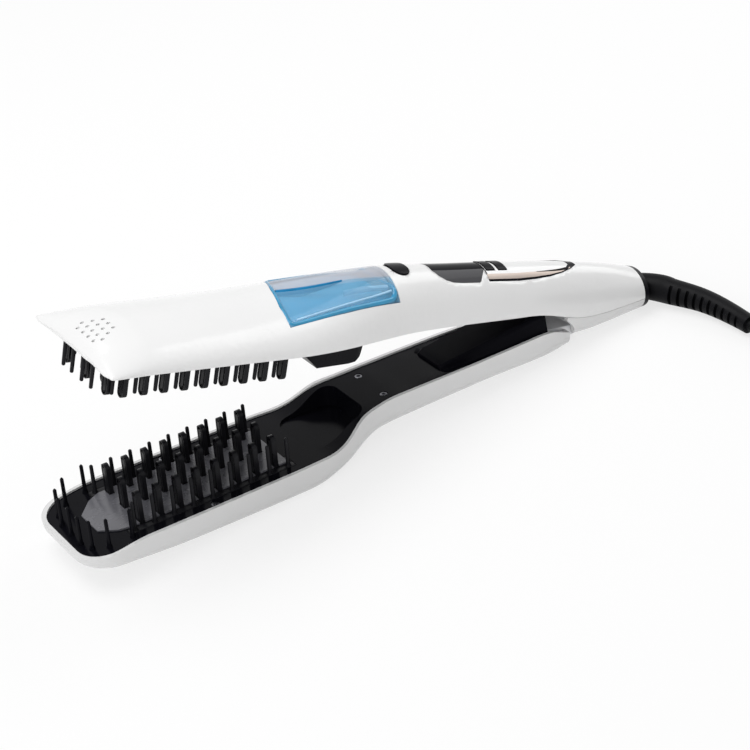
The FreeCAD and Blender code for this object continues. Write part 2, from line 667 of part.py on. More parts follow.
def make_upper_heating_plate():
    plate = block(UPPER_FIRST + 2.5, head(0.9), -PLATE_HALF, PLATE_HALF, BASE_LOW - PLATE_THICK, BASE_LOW)
    holes = [block(x - PADDLE_THICK / 2 - FIT, x + PADDLE_THICK / 2 + FIT,
                   y - PADDLE_WIDTH / 2 - FIT, y + PADDLE_WIDTH / 2 + FIT, -5, 5)
             for x in upper_paddles for y in (-UPPER_INNER_ROW, UPPER_INNER_ROW)]
    return plate.cut(holes)


add("upper_comb_base", UPPER, make_upper_comb_base())
add("upper_heating_plate", UPPER, make_upper_heating_plate())
add("upper_heater", UPPER, block(head(0.2), head(0.82), -4.0, 4.0, BASE_HIGH, BASE_HIGH + 2.4))


# ---------------------------------------------------------------- steam block and works
def make_steam_block():
    front = head(0.965)
    outline = [(front, 4.0), (front, -BLOCK_DROP * 0.5), (front + 8, -BLOCK_DROP), (front + 25, -BLOCK_DROP + 0.6),
               (front + 28.5, -BLOCK_DROP + 1.2), (front + 31, -BLOCK_DROP + 3.4),
               (front + BLOCK_LENGTH - 1, -BLOCK_DROP * 0.3), (front + BLOCK_LENGTH, 4.0)]
    body = side_prism(outline, BLOCK_HALF)
    length = BLOCK_LENGTH
    return body.common(rounded_column(front, front + length, BLOCK_HALF, 6.0, -FAR / 2, FAR / 2))


def rounded_column(x0, x1, half, corner, low, high):
    box = block(x0, x1, -half, half, low, high)
    uprights = [edge for edge in box.Edges if abs(edge.tangentAt(edge.FirstParameter).z) > 0.99]
    return box.makeFillet(corner, uprights)


add("steam_block", UPPER, make_steam_block())
add("steam_boiler", UPPER, block(head(0.45), head(0.80), -11.0, 11.0, BASE_HIGH + 2.4 + FIT, BASE_HIGH + 6.4))
PUMP_X = TANK_REAR + 12.2
PUMP_RADIUS = 4.5
PLATE_RISE = 1.0 / (neck(0.95) - neck(0.4))


def plate_top(x):
    """Top of the handle plate's level front stretch."""
    return 1.6 + (x - neck(0.4)) * PLATE_RISE


add("pump", UPPER, Part.makeCylinder(PUMP_RADIUS, 16.0, V(PUMP_X, -8.0, plate_top(PUMP_X) + PUMP_RADIUS + 0.05),
                                     Y_AXIS))


def make_handle_plate():
    """Inner plate of the handle, following the grip block under it."""
    thick = 1.4
    front = head(0.965) + BLOCK_LENGTH + FIT
    top = [(front, plate_top(front)), (neck(0.95), plate_top(neck(0.95))), (handle(0.1), 5.0),
           (handle(0.66), 12.0)]
    outline = [(x, z - thick) for x, z in top] + list(reversed(top))
    return side_prism(outline, FAR / 4).common(upper_inner_fit)


add("handle_plate", UPPER, make_handle_plate())
BOARD_TOP = NECK_CREST - 9.0
board = block(handle(-0.08), handle(0.5), -FAR / 2, FAR / 2, BOARD_TOP - 1.6, BOARD_TOP)
add("circuit_board", UPPER, board.common(upper_inner_fit))
add("display_module", UPPER, block(WINDOW_FRONT + 7, WINDOW_REAR - 7, -5.0, 5.0, BOARD_TOP,
                                   upper_crest(WINDOW_REAR) - SKIN - 1.2))


# ---------------------------------------------------------------- lower arm
lower_outer = lower_form(0.0, RIM_PROUD)
lower_inside = lower_form(LOWER_RIM, RIM_PROUD + 0.3)
deck_fit = lower_form(LOWER_RIM + FIT, 0.0)
plate_solid = deck_plate()
BLOCK_FRONT = head(0.965)


def make_lower_shell():
    shell = lower_outer.cut(lower_inside)
    return shell.cut(side_prism(knuckle_outline(FIT), KNUCKLE_HALF + FIT))


POCKET_FLOOR = -DECK_DROP - 1.2
POCKET_WALL = 1.6


def pocket_box(wall):
    """The pocket for the steam block, grown by a wall."""
    half = BLOCK_HALF + POCKET_CLEAR + wall
    top = FAR if wall == 0 else deck_level(neck(0.36))
    return rounded_column(BLOCK_FRONT + 4 - wall, neck(0.42) + wall, half, 7.0 + wall, POCKET_FLOOR - wall, top)


def make_deck():
    """Inlaid deck with the sunk pocket for the steam block."""
    walls = pocket_box(POCKET_WALL).common(deck_fit)
    slots = [row_strip(y, pins, FIT) for label, y, pins in LOWER_ROWS]
    plate = plate_solid.common(lower_form(LOWER_RIM + FIT / 2, 1.0))
    deck = plate.fuse(walls).cut([pocket_box(0.0)] + slots + [screw_hole(x, y) for x, y in DECK_SCREWS])
    return deck.fuse([nose_pin(x, y) for x, y in NOSE_PINS])


add("lower_shell", LOWER, make_lower_shell())

LOWER_ROWS = (("near_pins", -LOWER_PIN_ROW, True), ("near_paddles", -LOWER_SIDE_ROW, False),
              ("centre_paddles", 0.0, False), ("far_paddles", LOWER_SIDE_ROW, False),
              ("far_pins", LOWER_PIN_ROW, True))
DECK_SCREWS = ((neck(0.59), -10.6), (neck(0.59), 10.6), (head(0.5), -LOWER_HALF + 3.0),
               (head(0.5), LOWER_HALF - 3.0))
NOSE_PINS = ((-4.0, -9.0), (-4.0, 0.0), (-4.0, 9.0), (-2.0, -16.0), (-2.0, 16.0), (4.0, -20.7), (4.0, 20.7),
             (14.7, -22.4), (14.7, 22.4))


def row_strip(y, pins, gap):
    """The carrier strip of one row, flush with the deck; gap makes its slot."""
    half = 1.9 if pins else STRIP_HALF
    first = lower_pins[0] - 3.0 if pins else lower_paddles[0] - 2.4
    last = lower_pins[-1] + 3.0
    return block(first - gap, last + gap, y - half - gap, y + half + gap,
                 -DECK_DROP - STRIP_THICK - gap, -DECK_DROP + 5 * gap)


def lower_row(y, pins):
    level = -DECK_DROP
    tip = level + LOWER_TOOTH_REACH
    if pins:
        teeth = [tooth_pin(x, y, level - 0.3, tip - 1.0, PIN_TOOTH_RADIUS) for x in lower_pins]
    else:
        teeth = [tooth_paddle(x, y, level - 0.5, tip) for x in lower_paddles]
    return row_strip(y, pins, 0.0).fuse(teeth)


def nose_pin(x, y):
    level = deck_level(x)
    return tooth_pin(x, y, level - 0.4, level + LOWER_TOOTH_REACH - 1.0, PIN_TOOTH_RADIUS)


SCREW_HEAD = 1.9
SCREW_SHANK = 0.9


def screw_solid(x, y, gap):
    """A deck screw, or its counterbored hole when gap is given."""
    level = deck_level(x)
    cap = Part.makeCylinder(SCREW_HEAD + gap, 1.3 + 5 * gap, V(x, y, level - 1.5), Z_AXIS)
    shank = Part.makeCylinder(SCREW_SHANK + gap, 4.0 + gap, V(x, y, level - 5.0 - gap), Z_AXIS)
    return cap.fuse(shank)


def screw_hole(x, y):
    return screw_solid(x, y, FIT / 2)


add("lower_deck", LOWER, make_deck())
for label, y, pins in LOWER_ROWS:
    add("lower_bristles_" + label, LOWER, lower_row(y, pins))
add("deck_screws", LOWER, Part.makeCompound([screw_solid(x, y, 0.0) for x, y in DECK_SCREWS]))


def make_lower_heating_plate():
    """Pointed plate laid on the deck, cut away round every paddle."""
    rear = lower_paddles[-1] + 6.0
    front = head(0.045)
    half = LOWER_PLATE_HALF
    outline = [(front, -half * 0.45), (front + 7, -half * 0.85), (front + 13, -half), (rear, -half),
               (rear, half), (front + 13, half), (front + 7, half * 0.85), (front, half * 0.45)]
    plate = prism(outline, -40, 10).common(plate_solid.translated(V(0, 0, LOWER_PLATE_PROUD))).cut(plate_solid)
    gap = 0.3
    holes = [block(x - PADDLE_THICK / 2 - gap, x + PADDLE_THICK / 2 + gap,
                   y - PADDLE_WIDTH / 2 - gap, y + PADDLE_WIDTH / 2 + gap, -40, 10)
             for x in lower_paddles for y in (-LOWER_SIDE_ROW, 0.0, LOWER_SIDE_ROW)]
    return plate.cut(holes)


add("lower_heating_plate", LOWER, make_lower_heating_plate())
UNDER_DECK = -DECK_DROP - DECK_THICK - FIT
add("lower_heater", LOWER, block(head(0.25), head(0.85), -10.0, 10.0, UNDER_DECK - 2.6, UNDER_DECK - 0.1))
fuse_base = V(head(0.88), -6.0, UNDER_DECK - 2.4)
add("thermal_fuse", LOWER, Part.makeCylinder(2.2, 12.0, fuse_base, Y_AXIS))


def make_grip_block():
    """Raised block on the lower handle; it fits between the walls of the upper handle."""
    wires = []
    stops = ((handle(0.02), 11.5, 9.5, 1.0), (handle(0.05), 13.6, 10.6, 2.0), (handle(0.3), 13.6, 11.2, 4.4),
             (handle(0.66) - FIT, 12.6, 11.0, 7.6))
    for x, foot, top, level in stops:
        ridge = [V(x, -foot, -6.0), V(x, -foot, deck_level(x) + 0.5), V(x, -top, level - 1.4),
                 V(x, -top + 1.6, level)]
        wires.append(closed_wire(ridge + [V(p.x, -p.y, p.z) for p in reversed(ridge)]))
    form = Part.makeLoft(wires, True, True).cut([deck_fit, plate_solid])
    return max(form.Solids, key=lambda piece: piece.Volume)


def make_knuckle():
    """Arm that carries the lower shell on the hinge pin."""
    arm = side_prism(knuckle_outline(0.0), KNUCKLE_HALF)
    barrel = Part.makeCylinder(BARREL_RADIUS, 2 * KNUCKLE_HALF, V(HINGE.x, -KNUCKLE_HALF, HINGE.z), Y_AXIS)
    bore = Part.makeCylinder(PIN_RADIUS + PIN_RUNNING, FAR, V(HINGE.x, -FAR / 2, HINGE.z), Y_AXIS)
    slot = block(HINGE.x - BARREL_RADIUS - 1.0, FAR, -2.9, 2.9, -FAR / 2, FAR / 2)
    return arm.fuse(barrel).cut([bore, slot])


add("grip_block", LOWER, make_grip_block())
add("hinge_knuckle", LOWER, make_knuckle())


# ---------------------------------------------------------------- placing the arms
def low_point(points, tilt):
    turn = math.radians(tilt)
    return min(p.z * math.cos(turn) - p.x * math.sin(turn) for p in points)


def resting_tilt(front, rear):
    """The tilt at which both sets of points touch one ground plane."""
    low, high = 0.0, 40.0
    while high - low > 1e-6:
        middle = (low + high) / 2
        if low_point(rear, middle) > low_point(front, middle):
            low = middle
        else:
            high = middle
    return low


def open_copy(arm, shape):
    turned = shape.copy()
    if arm == LOWER:
        turned.rotate(HINGE, Y_AXIS, -OPENING)
    return turned


def surface_points(name):
    return open_copy(*parts[name]).tessellate(0.1)[0]


TILT = resting_tilt(surface_points("lower_shell"), surface_points("tail_cover") + surface_points("tail_ring"))


def tilted(arm, shape):
    turned = open_copy(arm, shape)
    turned.rotate(V(0, 0, 0), Y_AXIS, TILT)
    return turned


tilted_points = [p for arm, shape in parts.values() for p in tilted(arm, shape).tessellate(0.1)[0]]
SHIFT = V(-(min(p.x for p in tilted_points) + max(p.x for p in tilted_points)) / 2,
          -(min(p.y for p in tilted_points) + max(p.y for p in tilted_points)) / 2,
          -min(p.z for p in tilted_points))


def to_ground(point):
    return FreeCAD.Rotation(Y_AXIS, TILT).multVec(point) + SHIFT


# ---------------------------------------------------------------- cord, on the ground plane
ring_back = tail(1) + RING_LENGTH
EXIT = to_ground(V(ring_back + (upper_crest(tail(1)) - CORD_LEVEL) * math.tan(math.radians(RING_LEAN)), 0,
                   CORD_LEVEL))
EXIT_WAY = FreeCAD.Rotation(Y_AXIS, TILT - RING_LEAN).multVec(X_AXIS)


def beside_exit(dx, dy, height):
    """A point of the cord's route: offsets from the exit, and its height over the ground."""
    return V(EXIT.x + dx, EXIT.y + dy, height)


GUARD_ROUTE = [EXIT, EXIT + EXIT_WAY * 2.5, beside_exit(7.0, -3.6, 8.1), beside_exit(12.0, -14.0, 7.6),
               beside_exit(17.9, -29.0, 6.8), beside_exit(20.7, -45.0, 5.9), beside_exit(21.2, -62.0, 5.0)]
guard_line = Part.BSplineCurve()
guard_line.interpolate(GUARD_ROUTE)
CORD_ROUTE = [GUARD_ROUTE[-1], GUARD_ROUTE[-1] + guard_line.tangent(guard_line.LastParameter)[0] * 12.0,
              beside_exit(23.4, -85.2, 3.5), beside_exit(27.4, -96.3, 3.6), beside_exit(31.8, -107.3, 3.9)]
COIL_CENTRE = beside_exit(67.0, -94.5, 0.0)
COIL_BASE = 0.9                  # thickness of the tie under the coil
COIL_TOP = COIL_BASE + 2 * CORD_RADIUS * COIL_LAYERS
PLUG_HALF = 6.8                  # half height of the plug, which lies on the coil
PLUG_REST = COIL_TOP + PLUG_HALF + 0.05


def round_coil(turn, radius, height):
    """A point by its angle in degrees and its distance from the coil's centre."""
    angle = math.radians(turn)
    return COIL_CENTRE + V(radius * math.cos(angle), radius * math.sin(angle), height)


LEAD_ROUTE = [round_coil(215, COIL_MEAN + CORD_RADIUS, COIL_TOP - CORD_RADIUS), round_coil(248, 36.5, 23.8),
              round_coil(281, 35.3, 26.4), round_coil(314, 34.0, 29.2), round_coil(347, 32.5, PLUG_REST),
              round_coil(380, 30.0, PLUG_REST)]


def tangent_arc_path(points):
    """Straight runs joined by tangent arcs, as large as the shorter run beside each corner allows."""
    edges = []
    start = points[0]
    for before, corner, after in zip(points, points[1:], points[2:]):
        way_in = (corner - before).normalize()
        way_out = (after - corner).normalize()
        turn = way_in.getAngle(way_out)
        reach = 0.45 * min((corner - before).Length, (after - corner).Length)
        radius = reach / math.tan(turn / 2)
        first = corner - way_in * reach
        last = corner + way_out * reach
        inward = (way_out - way_in).normalize()
        middle = corner + inward * (radius / math.cos(turn / 2) - radius)
        edges.append(Part.LineSegment(start, first).toShape())
        edges.append(Part.Arc(first, middle, last).toShape())
        start = last
        print("  turn", round(math.degrees(turn), 1), "radius", round(radius, 1))
    edges.append(Part.LineSegment(start, points[-1]).toShape())
    return Part.Wire(edges)


def cord_tube(points, thick=CORD_RADIUS):
    path = tangent_arc_path(points)
    way = (points[1] - points[0]).normalize()
    section = Part.Wire(Part.Circle(points[0], way, thick).toShape())
    tube = path.makePipeShell([section], True, False)
    print("  length", round(path.Length, 1), "volume ratio",
          round(tube.Volume / (math.pi * thick ** 2 * path.Length), 4))
    return tube


def along_guard(share):
    """Placement on the guard's middle line: its Z runs along the line, its X lies level."""
    spot = guard_line.parameterAtDistance(guard_line.length() * share, guard_line.FirstParameter)
    way = guard_line.tangent(spot)[0]
    level = Z_AXIS.cross(way).normalize()
    turned = FreeCAD.Rotation(level, way.cross(level), way, "ZXY")
    return FreeCAD.Placement(guard_line.value(spot), turned)


def sleeve(stops):
    """A round body along the guard's line, from (share, radius) stops."""
    rings = []
    for share, radius in stops:
        ring = Part.Wire(Part.Circle(V(0, 0, 0), Z_AXIS, radius).toShape())
        ring.Placement = along_guard(share)
        rings.append(ring)
    return Part.makeLoft(rings, True, False)


NECK_SHARE = 0.30                # share of the guard's line taken by its solid neck
SLOTS = 10
SLOT_WIDTH = 1.7


def make_cord_guard():
    """Ribbed sleeve with two rows of slots, staggered on its two sides."""
    steps = 6
    stops = []
    for k in range(steps + 1):
        share = mix(NECK_SHARE, 1.0, k / steps)
        stops.append((share, mix(NECK_RADIUS - 0.6, GUARD_TIP_RADIUS, k / steps)))
    body = sleeve(stops)
    cuts = []
    for k in range(SLOTS):
        for side in (-1, 1):
            share = mix(NECK_SHARE, 1.0, (k + (0.75 if side > 0 else 0.4)) / (SLOTS + 0.6))
            reach = 12.0
            near, far = sorted((side * (CORD_RADIUS + 0.4), side * reach))
            slot = block(near, far, -reach, reach, -SLOT_WIDTH / 2, SLOT_WIDTH / 2)
            slot.Placement = along_guard(share)
            cuts.append(slot)
    return body.cut(cuts)


def make_cord_neck():
    """Solid elbow of the guard with a round foot on the tail ring."""
    foot = Part.makeCylinder(NECK_RADIUS + 1.2, 2.6, EXIT, EXIT_WAY)
    elbow = sleeve([(0.025, NECK_RADIUS - 0.2), (0.09, NECK_RADIUS - 0.6), (0.17, NECK_RADIUS - 0.4),
                    (NECK_SHARE, NECK_RADIUS - 0.6)])
    return elbow.fuse(foot)


WIRE_RADIUS = 1.4
WIRE_ROUTE = [V(tail(1) - 0.2, 0, CORD_LEVEL), V(tail(0), 0, CORD_LEVEL + 5.0), V(handle(0.7), 0, CORD_LEVEL + 11.7),
              V(handle(0.45), 0, BOARD_TOP + WIRE_RADIUS + 0.85)]

add("cord_neck", GROUND, make_cord_neck())
add("cord_guard", GROUND, make_cord_guard())
print("cord")
add("cord", GROUND, cord_tube(CORD_ROUTE))
print("wiring in the handle")
add("wiring", UPPER, cord_tube(WIRE_ROUTE, WIRE_RADIUS))
print("lead to the plug")
add("cord_lead", GROUND, cord_tube(LEAD_ROUTE))


def round_ring(half, low, high, first, sweep):
    """A ring of rectangular section about the coil's centre, from one angle through a sweep."""
    section = closed_wire([V(COIL_MEAN - half, 0, low), V(COIL_MEAN + half, 0, low),
                           V(COIL_MEAN + half, 0, high), V(COIL_MEAN - half, 0, high)])
    ring = Part.Face(section).revolve(V(0, 0, 0), Z_AXIS, sweep)
    ring.rotate(V(0, 0, 0), Z_AXIS, first)
    ring.translate(COIL_CENTRE)
    return ring


def make_coil():
    """Outer shape of the put-away turns."""
    return round_ring(COIL_ACROSS, COIL_BASE, COIL_TOP, 0, 360)


def make_coil_tie():
    """Band round the bundle of turns."""
    gap = 0.1
    half = COIL_ACROSS + gap
    band = round_ring(half + COIL_BASE - gap, gap, COIL_TOP + COIL_BASE, TIE_ANGLE, TIE_SWEEP)
    return band.cut(round_ring(half, COIL_BASE, COIL_TOP + gap, TIE_ANGLE, TIE_SWEEP))


PLUG_LENGTH = 36.0
PLUG_WIDE = 12.5
PIN_LENGTH = 19.0
PLUG_PIN_RADIUS = 2.2
PLUG_PIN_HALF_PITCH = 9.2


def plug_placement():
    way = LEAD_ROUTE[-1] - LEAD_ROUTE[-2]
    way.z = 0
    way.normalize()
    level = Z_AXIS.cross(way)
    return FreeCAD.Placement(LEAD_ROUTE[-1], FreeCAD.Rotation(level, Z_AXIS, way, "ZXY"))


def make_plug_body():
    """Flat moulded body that widens from the cord to the pins."""
    stops = ((0.0, 5.0, 5.0), (6.0, 5.6, 5.2), (14.0, PLUG_WIDE - 1.5, PLUG_HALF - 0.4),
             (22.0, PLUG_WIDE, PLUG_HALF), (PLUG_LENGTH, PLUG_WIDE + 1.0, PLUG_HALF))
    rings = []
    for spot, wide, half in stops:
        ring = Part.Wire(Part.Ellipse(V(wide, 0, spot), V(0, half, spot), V(0, 0, spot)).toShape()) \
            if wide > half else Part.Wire(Part.Circle(V(0, 0, spot), Z_AXIS, half).toShape())
        rings.append(ring)
    body = Part.makeLoft(rings, True, True)
    body.Placement = plug_placement()
    return body


def make_plug_pins():
    pins = []
    for side in (-1, 1):
        pin = Part.makeCylinder(PLUG_PIN_RADIUS, PIN_LENGTH, V(side * PLUG_PIN_HALF_PITCH, 0, PLUG_LENGTH), Z_AXIS)
        pin.Placement = plug_placement().multiply(pin.Placement)
        pins.append(pin)
    return Part.makeCompound(pins)


add("cord_coil", GROUND, make_coil())
add("coil_tie", GROUND, make_coil_tie())
add("plug_body", GROUND, make_plug_body())
add("plug_pins", GROUND, make_plug_pins())

# ---------------------------------------------------------------- files
os.makedirs("parts", exist_ok=True)
for name, (arm, shape) in parts.items():
    solid = shape
    if arm != GROUND:
        solid = tilted(arm, shape)
        solid.translate(SHIFT)
    solid.exportStep("parts/" + name + ".step")

print("tilt", round(TILT, 3), "shift", SHIFT)
print("hinge", to_ground(HINGE), "exit", EXIT, "way", EXIT_WAY)
press_way = FreeCAD.Rotation(Y_AXIS, TILT).multVec(Z_AXIS)
print("up along the upper arm", press_way)
for name, (arm, shape) in parts.items():
    if not shape.isValid() or len(shape.Solids) != 1:
        print(name, "solids", len(shape.Solids), "valid", shape.isValid())
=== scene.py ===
import json
import math
from typing import NamedTuple

import bmesh
import bpy
import numpy
from bpy.props import FloatProperty, FloatVectorProperty, PointerProperty
from mathutils import Matrix, Vector
from mathutils.bvhtree import BVHTree


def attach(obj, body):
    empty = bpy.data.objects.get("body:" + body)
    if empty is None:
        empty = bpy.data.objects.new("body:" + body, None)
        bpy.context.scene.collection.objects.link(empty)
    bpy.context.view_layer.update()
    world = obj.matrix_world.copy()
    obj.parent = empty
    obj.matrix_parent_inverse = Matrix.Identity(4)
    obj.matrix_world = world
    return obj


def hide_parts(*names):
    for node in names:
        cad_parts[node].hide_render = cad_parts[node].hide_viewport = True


bl_info = {
    "name": "Steam Hair Straightener Brush",
    "version": (1, 0, 0),
    "blender": (4, 5, 0),
    "location": "3D View > Sidebar > Steam Brush",
    "description": "Finishes the solids of a steam hair straightener brush and sets its stage",
    "category": "Object",
}

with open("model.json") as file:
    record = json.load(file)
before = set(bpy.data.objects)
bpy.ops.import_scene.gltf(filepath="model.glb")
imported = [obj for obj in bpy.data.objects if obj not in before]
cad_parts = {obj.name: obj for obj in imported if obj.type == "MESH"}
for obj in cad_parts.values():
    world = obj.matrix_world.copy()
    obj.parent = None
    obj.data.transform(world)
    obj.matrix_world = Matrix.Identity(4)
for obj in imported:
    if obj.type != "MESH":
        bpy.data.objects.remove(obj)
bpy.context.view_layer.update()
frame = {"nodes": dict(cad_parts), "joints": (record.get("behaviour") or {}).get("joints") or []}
NODES = frame["nodes"]
JOINTS = {joint["name"]: joint for joint in frame["joints"]}
MM = 0.001

# ---- the arms' own frames
# In an arm's frame X runs from the tip to the tail, Y across the arm, and z = 0 lies on the
# rim of the upper shell. Places on an arm are given in it, in millimetres.
HINGE = Vector(JOINTS["jaw"]["pos_m"])
UP = Vector(JOINTS["tank_lift"]["axis"]).normalized()
HINGE_IN_ARM = Vector((281.0, 0.0, -6.0)) * MM
OPENING = math.radians(15.42)


def arm_frame(opening):
    """Matrix from an arm's frame to the part's frame, for an arm swung open by the opening."""
    lean = math.atan2(UP.x, UP.z) - opening
    turned = Matrix.Rotation(lean, 4, "Y")
    return Matrix.Translation(HINGE) @ turned @ Matrix.Translation(-HINGE_IN_ARM)


UPPER_ARM = arm_frame(0.0)
LOWER_ARM = arm_frame(OPENING)
PART_FRAME = Matrix.Identity(4)


# ---- sizes and colours
def colour(name, description, default):
    """A colour that the panel shows."""
    return FloatVectorProperty(name=name, description=description, default=default,
                               subtype="COLOR", size=3, min=0.0, max=1.0)


class SteamBrushSizes(bpy.types.PropertyGroup):
    """Sizes of the pieces that are made here."""

    cord_width: FloatProperty(
        name="Cord Width", description="Outside width of the round mains cord",
        default=0.006, min=0.004, max=0.009, unit="LENGTH")
    cord_length: FloatProperty(
        name="Cord Length", description="Length of the mains cord from the tail to its plug",
        default=1.72, min=1.0, max=3.0, unit="LENGTH")
    grain_size: FloatProperty(
        name="Moulding Grain", description="Size of the fine grain on satin mouldings",
        default=0.0004, min=0.0001, max=0.002, unit="LENGTH")


class SteamBrushColours(bpy.types.PropertyGroup):
    """Colours of the finishes."""

    shell: colour("Shell", "Glossy white of the shells", (0.80, 0.80, 0.80))
    # Painted light: the hinge arm is painted a lighter white than the shells to lift the shade
    # it lies in under the upper arm.
    knuckle: colour("Knuckle", "Satin white of the hinge arm", (0.95, 0.95, 0.97))
    deck: colour("Deck", "Glossy black of the lower deck", (0.004, 0.004, 0.006))
    bristle: colour("Bristles", "Black nylon of the bristles", (0.008, 0.008, 0.010))
    rubber: colour("Rubber", "Black rubber of cord and guard", (0.005, 0.005, 0.006))
    coating: colour("Plate Coating", "Grey of the heating plates", (0.12, 0.12, 0.135))
    # Painted light: the grey that the window's near side is painted for the light it catches.
    smoke: colour("Window Side", "Grey of the window's near side", (0.075, 0.075, 0.08))
    trim: colour("Trim", "Rose gold of the two trims", (0.45, 0.385, 0.345))
    tank: colour("Tank", "Clear blue of the water tank", (0.21, 0.57, 0.86))
    tank_dry: colour("Dry Tank", "Grey of the tank over its water", (0.62, 0.63, 0.68))
    tank_rim: colour("Tank Rim", "Blue of the tank's thick rim", (0.010, 0.25, 0.46))
    # Painted highlight: ledge and pipe inside the tank are painted this pale blue for the light
    # they catch.
    fitting: colour("Tank Fittings", "Blue of ledge and pipe", (0.36, 0.60, 0.80))
    bay: colour("Tank Bay", "Pale blue of the bay under the tank", (0.74, 0.80, 0.86))
    water: colour("Water", "Blue of the water", (0.15, 0.54, 0.86))
    water_line: colour("Water Line", "Blue of the water's edge", (0.004, 0.17, 0.38))
    steel: colour("Steel", "Bright metal of the hinge", (0.62, 0.62, 0.64))
    screw: colour("Screws", "Dark metal of the deck screws", (0.22, 0.22, 0.24))
    brass: colour("Brass", "Brass of the plug pins", (0.72, 0.62, 0.42))
    cast: colour("Cast Metal", "Aluminium of heaters and boiler", (0.60, 0.60, 0.62))
    inner: colour("Inner Plastic", "Grey of the parts inside", (0.22, 0.23, 0.25))


def colour_of(name, shade=1.0):
    """One of the colours above, made darker by the shade."""
    return [part * shade for part in getattr(bpy.context.scene.steam_brush_colours, name)]


# ---- building materials
# Nearly all values of a noise lie between these two.
NOISE_LOW, NOISE_HIGH = 0.3, 0.7
SOFT_DETAIL, FINE_DETAIL = 2.0, 3.0
COAT_ROUGHNESS = 0.06
# Size of the noise in the gloss, as a share of the size of the colour's drift.
GLOSS_SHARE = 0.6
# Metals: the darkest streak, and sizes of the noises in colour, gloss and relief.
STREAK_DARK = 0.9
STREAK_SIZE, STREAK_GLOSS_SIZE = 0.4 * MM, 0.5 * MM
STREAK_GRAIN, STREAK_DEPTH = 0.3 * MM, 0.003 * MM
# Clear finishes: their drift, their gloss, their dents and how cover rises at grazing angles.
CLEAR_SPREAD, CLEAR_DRIFT = 0.05, 12.0 * MM
CLEAR_GLOSS_RANGE, CLEAR_GLOSS_SIZE = 0.06, 10.0 * MM
CLEAR_DENT_SIZE = 6.0 * MM
CLEAR_BLEND, CLEAR_RISE = 0.35, 0.45


def add_node(tree, kind, **settings):
    """A new node; each setting is an input, with _ for its spaces, or else a property."""
    node = tree.nodes.new(kind)
    for key, value in settings.items():
        name = key.replace("_", " ")
        if name in node.inputs:
            node.inputs[name].default_value = value
        else:
            setattr(node, key, value)
    return node


class Finish:
    """Nodes of a procedural material, laid out on the piece's own coordinates."""

    def __init__(self, material):
        material.use_nodes = True
        self.tree = material.node_tree
        self.shader = self.tree.nodes["Principled BSDF"]
        self.place = self.node("ShaderNodeTexCoord").outputs["Object"]

    def node(self, kind, **settings):
        return add_node(self.tree, kind, **settings)

    def link(self, source, target):
        self.tree.links.new(source, target)

    def feed(self, source, name):
        """Leads a value to this input of the shader."""
        self.link(source, self.shader.inputs[name])

    def constants(self, **values):
        for key, value in values.items():
            self.shader.inputs[key.replace("_", " ")].default_value = value

    def mapped(self, **settings):
        """The piece's own coordinates, turned or scaled by a mapping."""
        mapping = self.node("ShaderNodeMapping", **settings)
        self.link(self.place, mapping.inputs["Vector"])
        return mapping.outputs["Vector"]

    def noise(self, size, detail=SOFT_DETAIL, place=None):
        made = self.node("ShaderNodeTexNoise", Scale=1.0 / size, Detail=detail)
        self.link(place or self.place, made.inputs["Vector"])
        return made.outputs["Fac"]

    def ramp(self, value, *stops):
        """Colours over the value; each stop is a place on it and a colour."""
        made = self.node("ShaderNodeValToRGB")
        elements = made.color_ramp.elements
        for place, _ in stops[1:-1]:
            elements.new(place)
        for element, (place, colour) in zip(elements, stops):
            element.position, element.color = place, (*colour, 1.0)
        self.link(value, made.inputs["Fac"])
        return made.outputs["Color"]

    def between(self, value, low, high, start=NOISE_LOW, end=NOISE_HIGH):
        """The value's range from start to end, spread from low to high."""
        made = self.node("ShaderNodeMapRange", From_Min=start, From_Max=end,
                         To_Min=low, To_Max=high)
        self.link(value, made.inputs["Value"])
        return made.outputs["Result"]

    def tint(self, colour, spread, size):
        """Base colour that drifts a little over the piece."""
        pale = [min(1.0, part * (1 + spread)) for part in colour]
        dark = [part * (1 - spread) for part in colour]
        drift = self.ramp(self.noise(size), (NOISE_LOW, dark), (NOISE_HIGH, pale))
        self.feed(drift, "Base Color")

    def gloss(self, low, high, size):
        self.feed(self.between(self.noise(size, FINE_DETAIL), low, high), "Roughness")

    def grain(self, size, depth, place=None):
        """Fine relief from a noise of this size."""
        bump = self.node("ShaderNodeBump", Strength=1.0, Distance=depth)
        self.link(self.noise(size, FINE_DETAIL, place), bump.inputs["Height"])
        self.feed(bump.outputs["Normal"], "Normal")


class Moulded(NamedTuple):
    """Moulded plastic or rubber, with drifting colour and gloss and a fine grain.

    gloss is the least and the most roughness, grain its size in moulding grains and its depth
    in millimetres, and drift how far the colour drifts and over how many millimetres. Where
    the colour is empty, bands give it.
    """

    colour: str
    gloss: tuple
    grain: tuple
    drift: tuple = (0.03, 30.0)
    coat: float = 0.0
    level: float = 0.5
    shade: float = 1.0

    def build(self, finish):
        spread, size = self.drift[0], self.drift[1] * MM
        grain_size = bpy.context.scene.steam_brush_sizes.grain_size
        if self.colour:
            finish.tint(colour_of(self.colour, self.shade), spread, size)
        finish.gloss(*self.gloss, size * GLOSS_SHARE)
        finish.grain(grain_size * self.grain[0], self.grain[1] * MM)
        finish.constants(Coat_Weight=self.coat, Coat_Roughness=COAT_ROUGHNESS,
                         Specular_IOR_Level=self.level)


